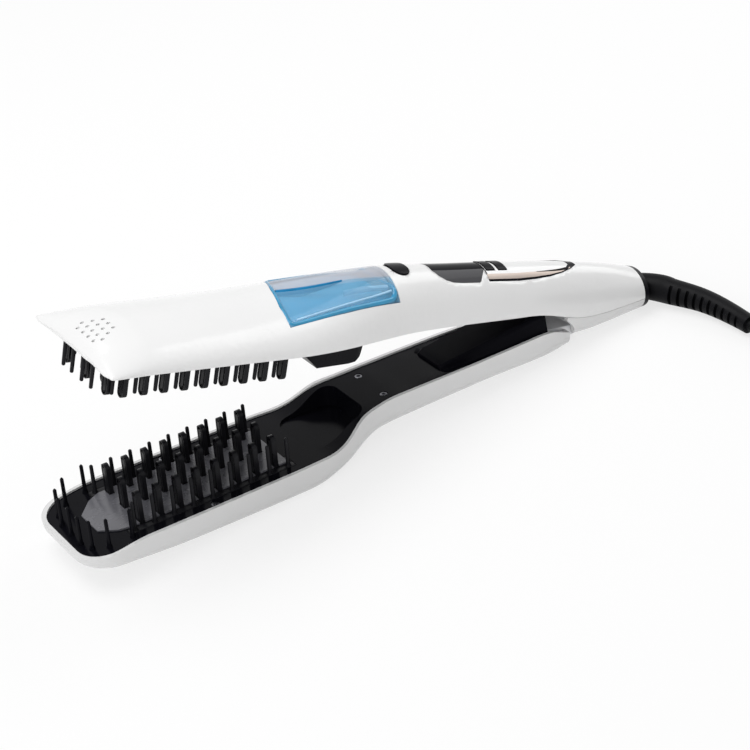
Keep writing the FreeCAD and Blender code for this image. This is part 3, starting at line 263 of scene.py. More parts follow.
class Metal(NamedTuple):
    """Metal with fine streaks; streak is how much finer they are along each axis."""

    colour: str
    gloss: tuple
    streak: tuple = (1.0, 1.0, 1.0)

    def build(self, finish):
        along = finish.mapped(Scale=self.streak)
        dark, plain = colour_of(self.colour, STREAK_DARK), colour_of(self.colour)
        streaks = finish.noise(STREAK_SIZE, FINE_DETAIL, along)
        finish.feed(finish.ramp(streaks, (NOISE_LOW, dark), (NOISE_HIGH, plain)), "Base Color")
        sheen = finish.noise(STREAK_GLOSS_SIZE, place=along)
        finish.feed(finish.between(sheen, *self.gloss), "Roughness")
        finish.grain(STREAK_GRAIN, STREAK_DEPTH, along)
        finish.constants(Metallic=1.0)


class Clear(NamedTuple):
    """See-through plastic or water: it covers more where the surface turns away.

    cover is how much it hides seen straight on, and dent its relief in millimetres. Where the
    colour is empty, bands give it.
    """

    colour: str
    roughness: float
    cover: float
    dent: float

    def build(self, finish):
        if self.colour:
            finish.tint(colour_of(self.colour), CLEAR_SPREAD, CLEAR_DRIFT)
        finish.gloss(self.roughness, self.roughness + CLEAR_GLOSS_RANGE, CLEAR_GLOSS_SIZE)
        finish.grain(CLEAR_DENT_SIZE, self.dent * MM)
        turned = finish.node("ShaderNodeLayerWeight", Blend=CLEAR_BLEND).outputs["Facing"]
        edge_cover = min(1.0, self.cover + CLEAR_RISE)
        finish.feed(finish.between(turned, self.cover, edge_cover, 0.0, 1.0), "Alpha")


class Circuit(NamedTuple):
    """Circuit board in two greens with pale tracks."""

    board: tuple = (0.01, 0.12, 0.05, 1.0)
    fields: tuple = (0.01, 0.16, 0.07, 1.0)
    tracks: tuple = (0.25, 0.32, 0.12, 1.0)
    scale: float = 260.0
    gloss: tuple = (0.3, 0.5, 10.0 * MM)
    grain: tuple = (0.5 * MM, 0.02 * MM)

    def build(self, finish):
        pattern = finish.node("ShaderNodeTexBrick", Scale=self.scale, Color1=self.board,
                              Color2=self.fields, Mortar=self.tracks)
        finish.link(finish.place, pattern.inputs["Vector"])
        finish.feed(pattern.outputs["Color"], "Base Color")
        finish.gloss(*self.gloss)
        finish.grain(*self.grain)


class Bands(NamedTuple):
    """Colours side by side across the upper arm, from low to high in millimetres.

    Each stop is a share of that range, a colour and its shade. The fall turns the bands: it
    is how far they shift across the arm for each millimetre along it.
    """

    low: float
    high: float
    stops: tuple
    fall: float = 0.0

    def build(self, finish):
        on_arm = finish.mapped(vector_type="TEXTURE", Location=UPPER_ARM.to_translation(),
                               Rotation=UPPER_ARM.to_euler(), Scale=(MM, MM, MM))
        parts = finish.node("ShaderNodeSeparateXYZ")
        across = finish.node("ShaderNodeMath", operation="MULTIPLY_ADD")
        across.inputs[1].default_value = self.fall
        finish.link(on_arm, parts.inputs["Vector"])
        finish.link(parts.outputs["X"], across.inputs[0])
        finish.link(parts.outputs["Y"], across.inputs[2])
        share = finish.between(across.outputs["Value"], 0.0, 1.0, self.low, self.high)
        stops = [(place, colour_of(name, shade)) for place, name, shade in self.stops]
        finish.feed(finish.ramp(share, *stops), "Base Color")


# ---- finishes of this tool
FINISHES = {
    "cord_rubber": Moulded("rubber", (0.42, 0.58), (1.25, 0.010), (0.08, 20.0), level=0.08),
    "guard_rubber": Moulded("rubber", (0.36, 0.50), (0.875, 0.012), (0.10, 10.0), level=0.08),
    "plug_plastic": Moulded("rubber", (0.30, 0.42), (0.75, 0.010), (0.06, 10.0)),
    "plug_brass": Metal("brass", (0.20, 0.32), (1.0, 6.0, 6.0)),
    "white_shell": Moulded("shell", (0.16, 0.24), (6.0, 0.002), (0.015, 50.0), coat=0.15),
    # Painted shade: the shells' white made darker by the shade of 0.88, for the shade that the
    # lower shell and tail cover lie in.
    "white_underside": Moulded("shell", (0.16, 0.24), (6.0, 0.002), (0.015, 50.0), coat=0.35,
                               shade=0.88),
    # Painted light: the hinge arm's satin white is lighter than the shells' to lift the shade it
    # lies in.
    "white_satin": Moulded("knuckle", (0.30, 0.40), (1.0, 0.004), (0.02, 30.0), coat=0.30),
    "tail_black": Moulded("deck", (0.28, 0.40), (1.0, 0.006), (0.10, 10.0), level=0.15),
    "bristle_nylon": Moulded("bristle", (0.26, 0.40), (1.0, 0.008), (0.15, 4.0), level=0.14),
    "dark_steel": Metal("screw", (0.20, 0.35)),
    "deck_black": Moulded("deck", (0.14, 0.22), (5.0, 0.002), (0.12, 20.0), level=0.06),
    "black_satin": Moulded("deck", (0.24, 0.36), (1.0, 0.005), (0.12, 15.0), level=0.10),
    "grip_black": Moulded("deck", (0.34, 0.42), (1.0, 0.003), (0.06, 30.0), level=0.03),
    "plate_coating": Moulded("coating", (0.20, 0.32), (1.0, 0.004), (0.06, 10.0), level=0.70),
    "window_black": Moulded("", (0.06, 0.10), (8.0, 0.001), (0.10, 10.0), level=0.06),
    "surround_black": Moulded("deck", (0.16, 0.24), (2.0, 0.002), (0.10, 10.0), level=0.06),
    "button_black": Moulded("deck", (0.20, 0.30), (1.0, 0.004), (0.10, 6.0), level=0.06),
    "rose_gold": Metal("trim", (0.30, 0.42), (0.12, 3.0, 3.0)),
    "panel_white": Moulded("shell", (0.16, 0.26), (4.0, 0.002), (0.02, 20.0), coat=0.30),
    "tank_plastic": Clear("", 0.03, 0.24, 0.004),
    "tank_water_blue": Clear("water", 0.05, 0.55, 0.020),
    "tank_rim_blue": Moulded("tank_rim", (0.06, 0.12), (10.0, 0.004), (0.12, 10.0), coat=0.30),
    "tank_edge_blue": Moulded("water_line", (0.12, 0.20), (10.0, 0.004), (0.15, 10.0),
                              level=0.20),
    # Painted highlight: the pale blue of the tank's ledge and pipe stands in for the light on
    # them.
    "tank_fitting_pale": Moulded("fitting", (0.25, 0.35), (7.5, 0.004), (0.06, 10.0), coat=0.20),
    "tank_rubber": Moulded("rubber", (0.40, 0.50), (1.0, 0.010)),
    "bay_pale": Moulded("bay", (0.30, 0.40), (1.0, 0.004)),
    "bright_steel": Metal("steel", (0.18, 0.32)),
    "cast_aluminium": Metal("cast", (0.35, 0.50)),
    "circuit_green": Circuit(),
    "inner_grey": Moulded("inner", (0.40, 0.55), (1.25, 0.010)),
}


def make_finish(name, bands=None):
    """A new material with this finish, and with bands of colour where they are given."""
    material = bpy.data.materials.new(name)
    finish = Finish(material)
    FINISHES[name].build(finish)
    if bands:
        bands.build(finish)
    return material


MERGE_DISTANCE = 0.002 * MM
SHELL_ANGLE = math.radians(28.0)
PIECE_ANGLE = math.radians(35.0)


def smoothing_group():
    """Geometry nodes that merge loose triangles and shade them smooth up to a sharp angle."""
    group = bpy.data.node_groups.new("smooth_shading", "GeometryNodeTree")
    for way in ("INPUT", "OUTPUT"):
        group.interface.new_socket("Geometry", in_out=way, socket_type="NodeSocketGeometry")
    start = add_node(group, "NodeGroupInput")
    end = add_node(group, "NodeGroupOutput")
    merge = add_node(group, "GeometryNodeMergeByDistance", Distance=MERGE_DISTANCE)
    angle = add_node(group, "GeometryNodeInputMeshEdgeAngle")
    gentle = add_node(group, "FunctionNodeCompare", data_type="FLOAT", operation="LESS_THAN")
    gentle.inputs[1].default_value = SHELL_ANGLE
    faces = add_node(group, "GeometryNodeSetShadeSmooth", domain="FACE")
    edges = add_node(group, "GeometryNodeSetShadeSmooth", domain="EDGE")
    link = group.links.new
    link(start.outputs[0], merge.inputs["Geometry"])
    link(merge.outputs["Geometry"], faces.inputs["Geometry"])
    link(faces.outputs["Geometry"], edges.inputs["Geometry"])
    link(angle.outputs["Unsigned Angle"], gentle.inputs[0])
    link(gentle.outputs["Result"], edges.inputs["Shade Smooth"])
    link(edges.outputs["Geometry"], end.inputs[0])
    return group


def paint(finish, *nodes, bands=None):
    """Gives carried-over nodes a finish and smooth shading; returns the material."""
    material = make_finish(finish, bands)
    smoothing = bpy.data.node_groups.get("smooth_shading") or smoothing_group()
    for name in nodes:
        node = NODES[name]
        node.data.materials.clear()
        node.data.materials.append(material)
        node.modifiers.new("smooth_shading", "NODES").node_group = smoothing
    return material


# ---- modelling helpers
RAY_HEIGHT = 60.0
TUBE_STEPS = 4
TUBE_ROUNDING = 3
BEVEL_SEGMENTS = 2


def eased(value, first, last):
    """0 before first, 1 after last, and a smooth rise between them."""
    share = min(max((value - first) / (last - first), 0.0), 1.0)
    return share * share * (3 - 2 * share)


def activate(*pieces):
    """Selects these pieces and no other, and makes the first one active."""
    bpy.ops.object.select_all(action="DESELECT")
    for piece in pieces:
        piece.select_set(True)
    bpy.context.view_layer.objects.active = pieces[0]


def primitive(kind, **settings):
    """A new primitive with its place and size in its mesh."""
    bpy.ops.object.select_all(action="DESELECT")
    getattr(bpy.ops.mesh, "primitive_%s_add" % kind)(**settings)
    bpy.ops.object.transform_apply(location=True, rotation=False, scale=True)
    return bpy.context.object


def copied(model):
    """A copy of a modelled piece, with its own mesh."""
    copy = model.copy()
    copy.data = model.data.copy()
    bpy.context.scene.collection.objects.link(copy)
    return copy


def stood(model, x, y, z, hanging=False):
    """A copy of a modelled piece at this place of an arm, upright or hanging."""
    copy = copied(model)
    turned = Matrix.Rotation(math.pi if hanging else 0.0, 4, "X")
    copy.matrix_world = Matrix.Translation(Vector((x, y, z)) * MM) @ turned
    return copy


def joined(pieces):
    activate(*pieces)
    bpy.ops.object.join()
    return bpy.context.object


def discard(*models):
    for model in models:
        bpy.data.objects.remove(model)


def pick(piece, kind, test):
    """Selects in edit mode the faces or edges of the piece that pass the test."""
    bpy.ops.object.mode_set(mode="EDIT")
    bpy.ops.mesh.select_mode(type=kind)
    bpy.ops.mesh.select_all(action="DESELECT")
    form = bmesh.from_edit_mesh(piece.data)
    for part in form.faces if kind == "FACE" else form.edges:
        part.select_set(test(part))
    form.select_flush_mode()
    bmesh.update_edit_mesh(piece.data)


def bevel(offset, segments=BEVEL_SEGMENTS):
    """Bevels the picked edges, or those of the picked faces, by millimetres."""
    bpy.ops.mesh.bevel(offset=offset * MM, segments=segments, affect="EDGES")


def inset(*steps):
    """Insets the picked faces step by step, each a width and a depth in millimetres."""
    for width, depth in steps:
        bpy.ops.mesh.inset(thickness=width * MM, depth=depth * MM)


def finished(piece, angle=PIECE_ANGLE):
    """Leaves edit mode and shades the piece smooth up to the angle."""
    bpy.ops.object.mode_set(mode="OBJECT")
    activate(piece)
    bpy.ops.object.shade_smooth_by_angle(angle=angle)
    return piece


def settle(piece, name, material, body, place=PART_FRAME):
    """Bakes the piece's place into its mesh, names it, finishes it and lets it ride."""
    piece.name = name
    piece.data.name = name
    piece.data.transform(place @ piece.matrix_world)
    piece.matrix_world = Matrix.Identity(4)
    piece.data.materials.clear()
    piece.data.materials.append(material)
    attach(piece, body)
    return piece


def slab(low, high, edge):
    """A block between two corners on an arm, with its edges eased."""
    low, high = Vector(low), Vector(high)
    piece = primitive("cube", size=MM, location=(low + high) * MM / 2, scale=high - low)
    pick(piece, "EDGE", lambda part: True)
    bevel(edge)
    return finished(piece)


def skin_tree(*nodes):
    """Ray-cast tree of the outer faces of some nodes."""
    corners, faces = [], []
    for name in nodes:
        mesh = NODES[name].data
        faces += [[len(corners) + index for index in face.vertices] for face in mesh.polygons]
        corners += [vertex.co.copy() for vertex in mesh.vertices]
    return BVHTree.FromPolygons(corners, faces)


def skin_under(tree, x, y):
    """The highest point of the skin at this place of the upper arm, or None beside it."""
    start = UPPER_ARM @ (Vector((x, y, RAY_HEIGHT)) * MM)
    return tree.ray_cast(start, -UP)[0]


def on_skin(tree, x, y, sunk):
    """The point this far under the skin at this place of the upper arm."""
    found = skin_under(tree, x, y)
    if found is None:
        raise RuntimeError("no skin at %.1f, %.1f" % (x, y))
    return found - UP * sunk * MM


def smooth_line(name, points, steps, closed=False):
    """A curve of one smooth spline, with these points in metres as its control points."""
    line = bpy.data.curves.new(name, "CURVE")
    line.dimensions = "3D"
    line.resolution_u = steps
    line.use_fill_caps = not closed
    spline = line.splines.new("NURBS")
    spline.points.add(len(points) - 1)
    for spot, point in zip(spline.points, points):
        spot.co = (*point, 1.0)
    spline.order_u = 3
    spline.use_cyclic_u = closed
    spline.use_endpoint_u = not closed
    made = bpy.data.objects.new(name, line)
    bpy.context.scene.collection.objects.link(made)
    return made


def tube(name, points, radii, material, body, closed=False):
    """A round bead along the points, with a radius in millimetres for each, made a mesh."""
    bead = smooth_line(name, points, TUBE_STEPS, closed)
    bead.data.bevel_depth = MM
    bead.data.bevel_resolution = TUBE_ROUNDING
    for spot, radius in zip(bead.data.splines[0].points, radii):
        spot.radius = radius
    activate(bead)
    bpy.ops.object.convert(target="MESH")
    bpy.ops.object.shade_smooth()
    settle(bpy.context.object, name, material, body)


# ---- mains cord
# The route runs from the exit through the guard to the coil; its points are along, across
# and up, the first two from the exit and the last from the floor. The lead's points are a
# turn round the coil in degrees, a distance from its middle and a height.
EXIT = Vector((159.598, 0.0, 8.914))
EXIT_WAY = Vector((0.98133, 0.0, -0.19232))
EXIT_RUN = 2.5
ROUTE = ((7.0, -3.6, 8.1), (12.0, -14.0, 7.6), (17.9, -29.0, 6.8), (20.7, -45.0, 5.9),
         (21.2, -62.0, 5.0), (20.9, -74.0, 4.4), (23.4, -85.2, 3.5), (27.4, -96.3, 3.6),
         (31.8, -107.3, 3.9))
COIL_CENTRE = EXIT + Vector((67.0, -94.5, 0.0))
COIL_LAPS = (37.5, 31.5, 31.5, 37.5, 37.5, 31.5, 31.5, 37.5)
COIL_LOW = 3.9
COIL_LAYER = 6.0
COIL_START = 200.0
POINTS_A_LAP = 15
STEP_ASIDE = (0.90, 1.0)
STEP_UP = (0.833, 0.931)
LEAD = ((215.0, 37.5, 21.9), (248.0, 36.5, 23.8), (281.0, 35.3, 26.4), (314.0, 34.0, 29.2),
        (347.0, 32.5, 31.75), (380.0, 30.0, 31.75))
CORD_STEPS = 6
CORD_ROUNDING = 5


def round_coil(turn, radius, height):
    angle = math.radians(turn)
    return Vector((COIL_CENTRE.x + radius * math.cos(angle),
                   COIL_CENTRE.y + radius * math.sin(angle), height))


def coil_points():
    """Pairs of laps beside each other, one pair wound on top of another."""
    points = []
    for k in range(1, (len(COIL_LAPS) - 1) * POINTS_A_LAP):
        lap = k / POINTS_A_LAP
        index = int(lap)
        inner, outer = COIL_LAPS[index], COIL_LAPS[index + 1]
        radius = inner + (outer - inner) * eased(lap - index, *STEP_ASIDE)
        layer = index // 2
        if index % 2:
            layer += eased(lap - index, *STEP_UP)
        turn = COIL_START + 360.0 * lap
        points.append(round_coil(turn, radius, COIL_LOW + COIL_LAYER * layer))
    return points


def cord_points():
    """Control points of the cord's middle line, in millimetres."""
    exit_run = [EXIT, EXIT + EXIT_WAY * EXIT_RUN]
    route = [Vector((EXIT.x + along, EXIT.y + across, up)) for along, across, up in ROUTE]
    return exit_run + route + coil_points() + [round_coil(*spot) for spot in LEAD]


class STEAM_BRUSH_OT_mains_cord(bpy.types.Operator):
    """Lays the mains cord from the tail through its guard to the coil and the plug"""

    bl_idname = "steam_brush.mains_cord"
    bl_label = "Mains Cord"

    def execute(self, context):
        sizes = context.scene.steam_brush_sizes
        cord = smooth_line("mains_cord", [point * MM for point in cord_points()], CORD_STEPS)
        cord.data.bevel_depth = sizes.cord_width / 2
        cord.data.bevel_resolution = CORD_ROUNDING
        cord.data.materials.append(make_finish("cord_rubber"))
        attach(cord, "upper_arm")
        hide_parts("cord", "cord_coil", "cord_lead")
        paint("guard_rubber", "cord_neck", "cord_guard", "coil_tie")
        paint("plug_plastic", "plug_body")
        paint("plug_brass", "plug_pins")
        return {"FINISHED"}


# ---- shells
# The solid's tip has a bowed front, TIP_BOW deep, and corners of TIP_CORNER. The copy made
# here has corners of CRISP_CORNER, a front further ahead and a thinner edge, which all end
# within TIP_SLOPE of the tip.
TIP_BOW = 1.5
TIP_CORNER = 8.0
CRISP_CORNER = 3.0
TIP_HALF = 34.2
TIP_SLOPE = 22.0
TIP_FINE = TIP_SLOPE * 1.2
TIP_THIN = 0.72
TIP_AHEAD = 1.2
CORNER_AHEAD = 2.0
# The vent holes lie from VENT_FRONT to VENT_REAR along the arm, within VENT_HALF of its
# middle. A polynomial of total degree FORM_TERMS - 1 follows the skin between them.
VENT_FRONT = 2.0
VENT_REAR = 25.0
VENT_HALF = 21.0
FORM_TERMS = 5
FORM_STEP = 0.5
FRONT_FADE = 2.0
SIDE_FADE = 6.0
FACES_UP = 0.7


def corner_reach(x, radius):
    """Half width of the head this far from its tip, with corners of this radius."""
    left = min(max(TIP_BOW + radius - x, 0.0), radius)
    return TIP_HALF - radius + math.sqrt(radius * radius - left * left)


def form_terms(x, y):
    """Terms of a smooth form over the vent field, scaled to about one."""
    u, v = x / VENT_REAR, y / VENT_HALF
    return [u ** m * v ** n for m in range(FORM_TERMS) for n in range(FORM_TERMS - m)]


def form_slope(weights, x, y):
    """Slope of the fitted form along and across the arm."""
    ahead, behind, right, left = (
        numpy.dot(weights, form_terms(x + dx, y + dy))
        for dx, dy in ((FORM_STEP, 0), (-FORM_STEP, 0), (0, FORM_STEP), (0, -FORM_STEP)))
    return (ahead - behind) / (2 * FORM_STEP), (right - left) / (2 * FORM_STEP)


def even_vent_field(shell):
    """Shades the skin between the vent holes by the smooth form of the tip."""
    mesh = shell.data
    to_arm = UPPER_ARM.inverted()
    turn = to_arm.to_3x3()
    spots = [to_arm @ vertex.co / MM for vertex in mesh.vertices]
    skin, tops = set(), []
    for face in mesh.polygons:
        if (turn @ face.normal).z > FACES_UP:
            for loop, corner in zip(face.loop_indices, face.vertices):
                spot = spots[corner]
                if VENT_FRONT < spot.x < VENT_REAR and abs(spot.y) < VENT_HALF:
                    skin.add(corner)
                    tops.append((loop, corner))
    terms = numpy.array([form_terms(spots[corner].x, spots[corner].y) for corner in skin])
    heights = numpy.array([spots[corner].z for corner in skin])
    weights = numpy.linalg.lstsq(terms, heights, rcond=None)[0]
    normals = [corner.vector.copy() for corner in mesh.corner_normals]
    for loop, corner in tops:
        spot = spots[corner]
        along, across = form_slope(weights, spot.x, spot.y)
        share = eased(spot.x, VENT_FRONT, VENT_FRONT + FRONT_FADE)
        share *= 1 - eased(spot.x, VENT_REAR - SIDE_FADE, VENT_REAR)
        share *= 1 - eased(abs(spot.y), VENT_HALF - SIDE_FADE, VENT_HALF)
        even = (UPPER_ARM.to_3x3() @ Vector((-along, -across, 1.0))).normalized()
        normals[loop] = normals[loop].lerp(even, share).normalized()
    mesh.normals_split_custom_set(normals)


def crisp_tip():
    """A copy of the upper shell with thinner, crisper corners at its tip."""
    shell = copied(NODES["upper_shell"])
    shell.modifiers.clear()
    activate(shell)
    to_arm = UPPER_ARM.inverted()
    pick(shell, "FACE", lambda part: True)
    bpy.ops.mesh.remove_doubles(threshold=MERGE_DISTANCE)
    pick(shell, "FACE", lambda part: (to_arm @ part.calc_center_median()).x < TIP_FINE * MM)
    bpy.ops.mesh.subdivide(number_cuts=1)
    bpy.ops.object.mode_set(mode="OBJECT")
    for vertex in shell.data.vertices:
        spot = to_arm @ vertex.co
        x = spot.x / MM
        if x < TIP_SLOPE:
            fade = eased(x, 0.0, TIP_SLOPE)
            spot.y *= corner_reach(x, CRISP_CORNER) / corner_reach(x, TIP_CORNER)
            ahead = TIP_AHEAD + CORNER_AHEAD * (spot.y / (TIP_HALF * MM)) ** 2
            spot.x -= ahead * MM * (1.0 - fade)
            if spot.z > 0.0:
                spot.z *= TIP_THIN + (1.0 - TIP_THIN) * fade
            vertex.co = UPPER_ARM @ spot
    finished(shell, SHELL_ANGLE)
    bpy.ops.object.modifier_add(type="WEIGHTED_NORMAL")
    shell.modifiers[-1].keep_sharp = True
    for modifier in list(shell.modifiers):
        bpy.ops.object.modifier_apply(modifier=modifier.name)
    even_vent_field(shell)
    return shell


class STEAM_BRUSH_OT_shells(bpy.types.Operator):
    """Finishes the white shells, the tail and the hinge arm"""

    bl_idname = "steam_brush.shells"
    bl_label = "Shells"

    def execute(self, context):
        # Painted shade: the tail cover and lower shell get a darker copy of the shell white for
        # the shade they lie in.
        paint("white_underside", "tail_cover", "lower_shell")
        shell = settle(crisp_tip(), "upper_shell_moulding", make_finish("white_shell"),
                       "upper_arm")
        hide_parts("upper_shell")
        paint("white_satin", "hinge_knuckle")
        paint("tail_black", "tail_ring")
        return {"FINISHED"}


# ---- bristles, deck and heated parts
PITCH = 9.78
PADDLE_THICK = 2.2
PADDLE_WIDTH = 4.8
PADDLE_ROUNDING = 0.49
PADDLE_SEGMENTS = 6
PADDLE_END = 0.99
PADDLE_RIBS = ((0.5, 0.0), (0.15, -0.4), (0.55, 0.0), (0.15, 0.35))
PIN_RADIUS = 1.0
PIN_TAPER = 0.85
PIN_DOME = 0.7
PIN_SEGMENTS = 3
PIN_SIDES = 12
PIN_FOOT = 1.6
PIN_FLARE = 1.6
# A face looks along an axis if more than this of its normal does; FLAT_ON leaves out bevels.
SQUARE_ON = 0.9
FLAT_ON = 0.99

STRIP_EDGE = 0.25
STRIP_HALF = 2.5
STRIP_OVERHANG = 3.0

UPPER_ROOT = 2.1
UPPER_TIP = -14.0
UPPER_PIN_SHORTER = 1.0
UPPER_STRIP = (0.6, 2.6)
UPPER_PADDLES = [11.55 + PITCH * k for k in range(9)]
UPPER_PINS = [x + PITCH * 0.6 for x in UPPER_PADDLES[:-1]]
UPPER_ROWS = {"near_outer": -23.0, "near_inner": -7.5, "far_inner": 7.5, "far_outer": 23.0}
TIP_ROOT = UPPER_ROOT - 0.6
# Extra bristles at the upper tip: kind, and place along and across the arm.
TIP_TEETH = (("pin", 2.2, 4.5), ("pin", 2.2, -4.5), ("pin", 2.4, -12.6), ("pin", 2.4, 12.6),
             ("pin", 8.0, -20.4), ("pin", 8.0, 20.4), ("paddle", 7.0, -17.4),
             ("paddle", 7.0, 17.4), ("paddle", 7.2, 0.0))

LOWER_DECK = -10.7
LOWER_REACH = 15.5
LOWER_PADDLE_SUNK = 0.5
LOWER_PIN_SUNK = 0.3
LOWER_PIN_SHORTER = 0.7
LOWER_STRIP_DEPTH = 2.0
LOWER_PIN_STRIP_HALF = 1.9
LOWER_PADDLE_OVERHANG = 2.4
LOWER_PADDLES = [22.77 + PITCH * k for k in range(8)]
LOWER_PINS = [x - PITCH / 2 for x in LOWER_PADDLES] + [LOWER_PADDLES[-1] + PITCH / 2]
LOWER_ROWS = {"near_pins": -18.8, "near_paddles": -14.2, "centre_paddles": 0.0,
              "far_paddles": 14.2, "far_pins": 18.8}

SCREW_RADIUS = 1.9
SCREW_SIDES = 24
SCREW_DEPTH = 3.0
SCREW_PROUD = 0.1
SCREW_EDGE = 0.35
SCREW_SOCKET = ((0.55, 0.0), (0.1, -0.8))
SCREWS_MIDDLE = 100.0


def model_paddle(reach):
    """Flat bristle, upright on the origin, with a round end and ribbed faces."""
    tooth = primitive("cube", size=MM, location=(0.0, 0.0, reach * MM / 2),
                      scale=(PADDLE_THICK, PADDLE_WIDTH, reach))
    end = reach * MM * PADDLE_END

    def across_end(part):
        first, last = (corner.co for corner in part.verts)
        crosses = abs(first.x - last.x) > PADDLE_THICK * MM / 2
        return first.z > end and last.z > end and crosses

    pick(tooth, "EDGE", across_end)
    bevel(PADDLE_WIDTH * PADDLE_ROUNDING, PADDLE_SEGMENTS)
    pick(tooth, "FACE", lambda part: abs(part.normal.x) > SQUARE_ON)
    inset(*PADDLE_RIBS)
    return finished(tooth)


def model_pin(reach):
    """Round bristle, upright on the origin, with a flared foot and a domed tip."""
    shaft = reach - PIN_FOOT
    tooth = primitive("cone", vertices=PIN_SIDES, radius1=PIN_RADIUS * MM,
                      radius2=PIN_RADIUS * PIN_TAPER * MM, depth=shaft * MM,
                      location=(0.0, 0.0, (PIN_FOOT + shaft / 2) * MM))
    pick(tooth, "FACE", lambda part: part.normal.z > SQUARE_ON)
    bevel(PIN_RADIUS * PIN_DOME, PIN_SEGMENTS)
    pick(tooth, "FACE", lambda part: part.normal.z < -SQUARE_ON)
    foot = {"value": (0.0, 0.0, -PIN_FOOT * MM)}
    bpy.ops.mesh.extrude_region_move(TRANSFORM_OT_translate=foot)
    bpy.ops.transform.resize(value=(PIN_FLARE, PIN_FLARE, 1.0))
    return finished(tooth)


def add_row(node, body, place, nylon, teeth, low, high):
    """One moulded row: a strip between two corners and its bristles, in one piece."""
    row = joined([slab(low, high, STRIP_EDGE)] + teeth)
    settle(row, node + "_row", nylon, body, place)
    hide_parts(node)


def add_upper_rows(nylon):
    reach = UPPER_ROOT - UPPER_TIP
    paddle = model_paddle(reach)
    pin = model_pin(reach - UPPER_PIN_SHORTER)
    start, end = UPPER_PADDLES[0] - STRIP_OVERHANG, UPPER_PADDLES[-1] + STRIP_OVERHANG
    bottom, top = UPPER_STRIP
    for label, y in UPPER_ROWS.items():
        teeth = [stood(paddle, x, y, UPPER_ROOT, True) for x in UPPER_PADDLES]
        if label.endswith("outer"):
            teeth += [stood(pin, x, y, UPPER_ROOT, True) for x in UPPER_PINS]
        add_row("upper_bristles_" + label, "upper_arm", UPPER_ARM, nylon, teeth,
                (start, y - STRIP_HALF, bottom), (end, y + STRIP_HALF, top))
    models = {"pin": pin, "paddle": paddle}
    teeth = [stood(models[kind], x, y, TIP_ROOT, True) for kind, x, y in TIP_TEETH]
    tip = settle(joined(teeth), "upper_tip_bristles", nylon, "upper_arm", UPPER_ARM)
    discard(paddle, pin)


def add_lower_rows(nylon):
    paddle = model_paddle(LOWER_REACH + LOWER_PADDLE_SUNK)
    pin = model_pin(LOWER_REACH - LOWER_PIN_SHORTER)
    end = LOWER_PINS[-1] + STRIP_OVERHANG
    for label, y in LOWER_ROWS.items():
        if label.endswith("pins"):
            teeth = [stood(pin, x, y, LOWER_DECK - LOWER_PIN_SUNK) for x in LOWER_PINS]
            start, half = LOWER_PINS[0] - STRIP_OVERHANG, LOWER_PIN_STRIP_HALF
        else:
            root = LOWER_DECK - LOWER_PADDLE_SUNK
            teeth = [stood(paddle, x, y, root) for x in LOWER_PADDLES]
            start, half = LOWER_PADDLES[0] - LOWER_PADDLE_OVERHANG, STRIP_HALF
        add_row("lower_bristles_" + label, "lower_arm", LOWER_ARM, nylon, teeth,
                (start, y - half, LOWER_DECK - LOWER_STRIP_DEPTH), (end, y + half, LOWER_DECK))
    discard(paddle, pin)


def model_screw(x, y, top):
    """Head of a socket screw at this place of the lower arm."""
    middle = top + SCREW_PROUD - SCREW_DEPTH / 2
    head = primitive("cylinder", vertices=SCREW_SIDES, radius=SCREW_RADIUS * MM,
                     depth=SCREW_DEPTH * MM, location=Vector((x, y, middle)) * MM)
    pick(head, "FACE", lambda part: part.normal.z > SQUARE_ON)
    bevel(SCREW_EDGE)
    pick(head, "FACE", lambda part: part.normal.z > FLAT_ON)
    inset(*SCREW_SOCKET)
    return finished(head)


def add_deck_screws(steel):
    """Socket screws in the deck, each on the place of its solid."""
    to_arm = LOWER_ARM.inverted()
    spots = [to_arm @ vertex.co / MM for vertex in NODES["deck_screws"].data.vertices]
    heads = []
    for rear in (True, False):
        for side in (-1, 1):
            group = [spot for spot in spots
                     if (spot.x > SCREWS_MIDDLE) == rear and spot.y * side > 0]
            x = sum(spot.x for spot in group) / len(group)
            y = sum(spot.y for spot in group) / len(group)
            heads.append(model_screw(x, y, max(spot.z for spot in group)))
    screws = settle(joined(heads), "deck_socket_screws", steel, "lower_arm", LOWER_ARM)
    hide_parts("deck_screws")


class STEAM_BRUSH_OT_combs(bpy.types.Operator):
    """Finishes the bristle rows, the deck, the grip block and the steam block"""

    bl_idname = "steam_brush.combs"
    bl_label = "Bristles and Deck"

    def execute(self, context):
        nylon = make_finish("bristle_nylon")
        add_upper_rows(nylon)
        add_lower_rows(nylon)
        add_deck_screws(make_finish("dark_steel"))
        paint("deck_black", "lower_deck")
        paint("black_satin", "upper_comb_base", "steam_block", "handle_plate")
        paint("grip_black", "grip_block")
        paint("plate_coating", "upper_heating_plate", "lower_heating_plate")
        return {"FINISHED"}


# ---- controls
# Painted light: the window is painted grey on the near side of its crest, for the light that
# side catches, and black beyond it.
WINDOW_CREST = -4.3
WINDOW_PAINTED_LIGHT_BANDS = Bands(WINDOW_CREST - 1.0, WINDOW_CREST + 1.0,
                     ((0.0, "smoke", 1.0), (0.47, "smoke", 1.0),
                      (0.53, "deck", 1.0), (1.0, "deck", 1.0)))
PANEL_LARGEST_HALF = 9.0
PANEL_SEARCH_STEP = 0.05
# The lip starts LIP_START thick beside the panel at the first of LIP_PLACES. At each of the
# next it is LIP_GROWTH thicker and LIP_SPREAD further out, and it turns at LIP_REAR.
LIP_PLACES = (239.0, 244.0, 249.0, 253.5, 257.5, 260.2)
LIP_START = 0.2
LIP_GROWTH = 0.18
LIP_SPREAD = 0.1
LIP_REAR = 263.9
LIP_REAR_RADIUS = 1.3
LIP_SUNK = 0.7


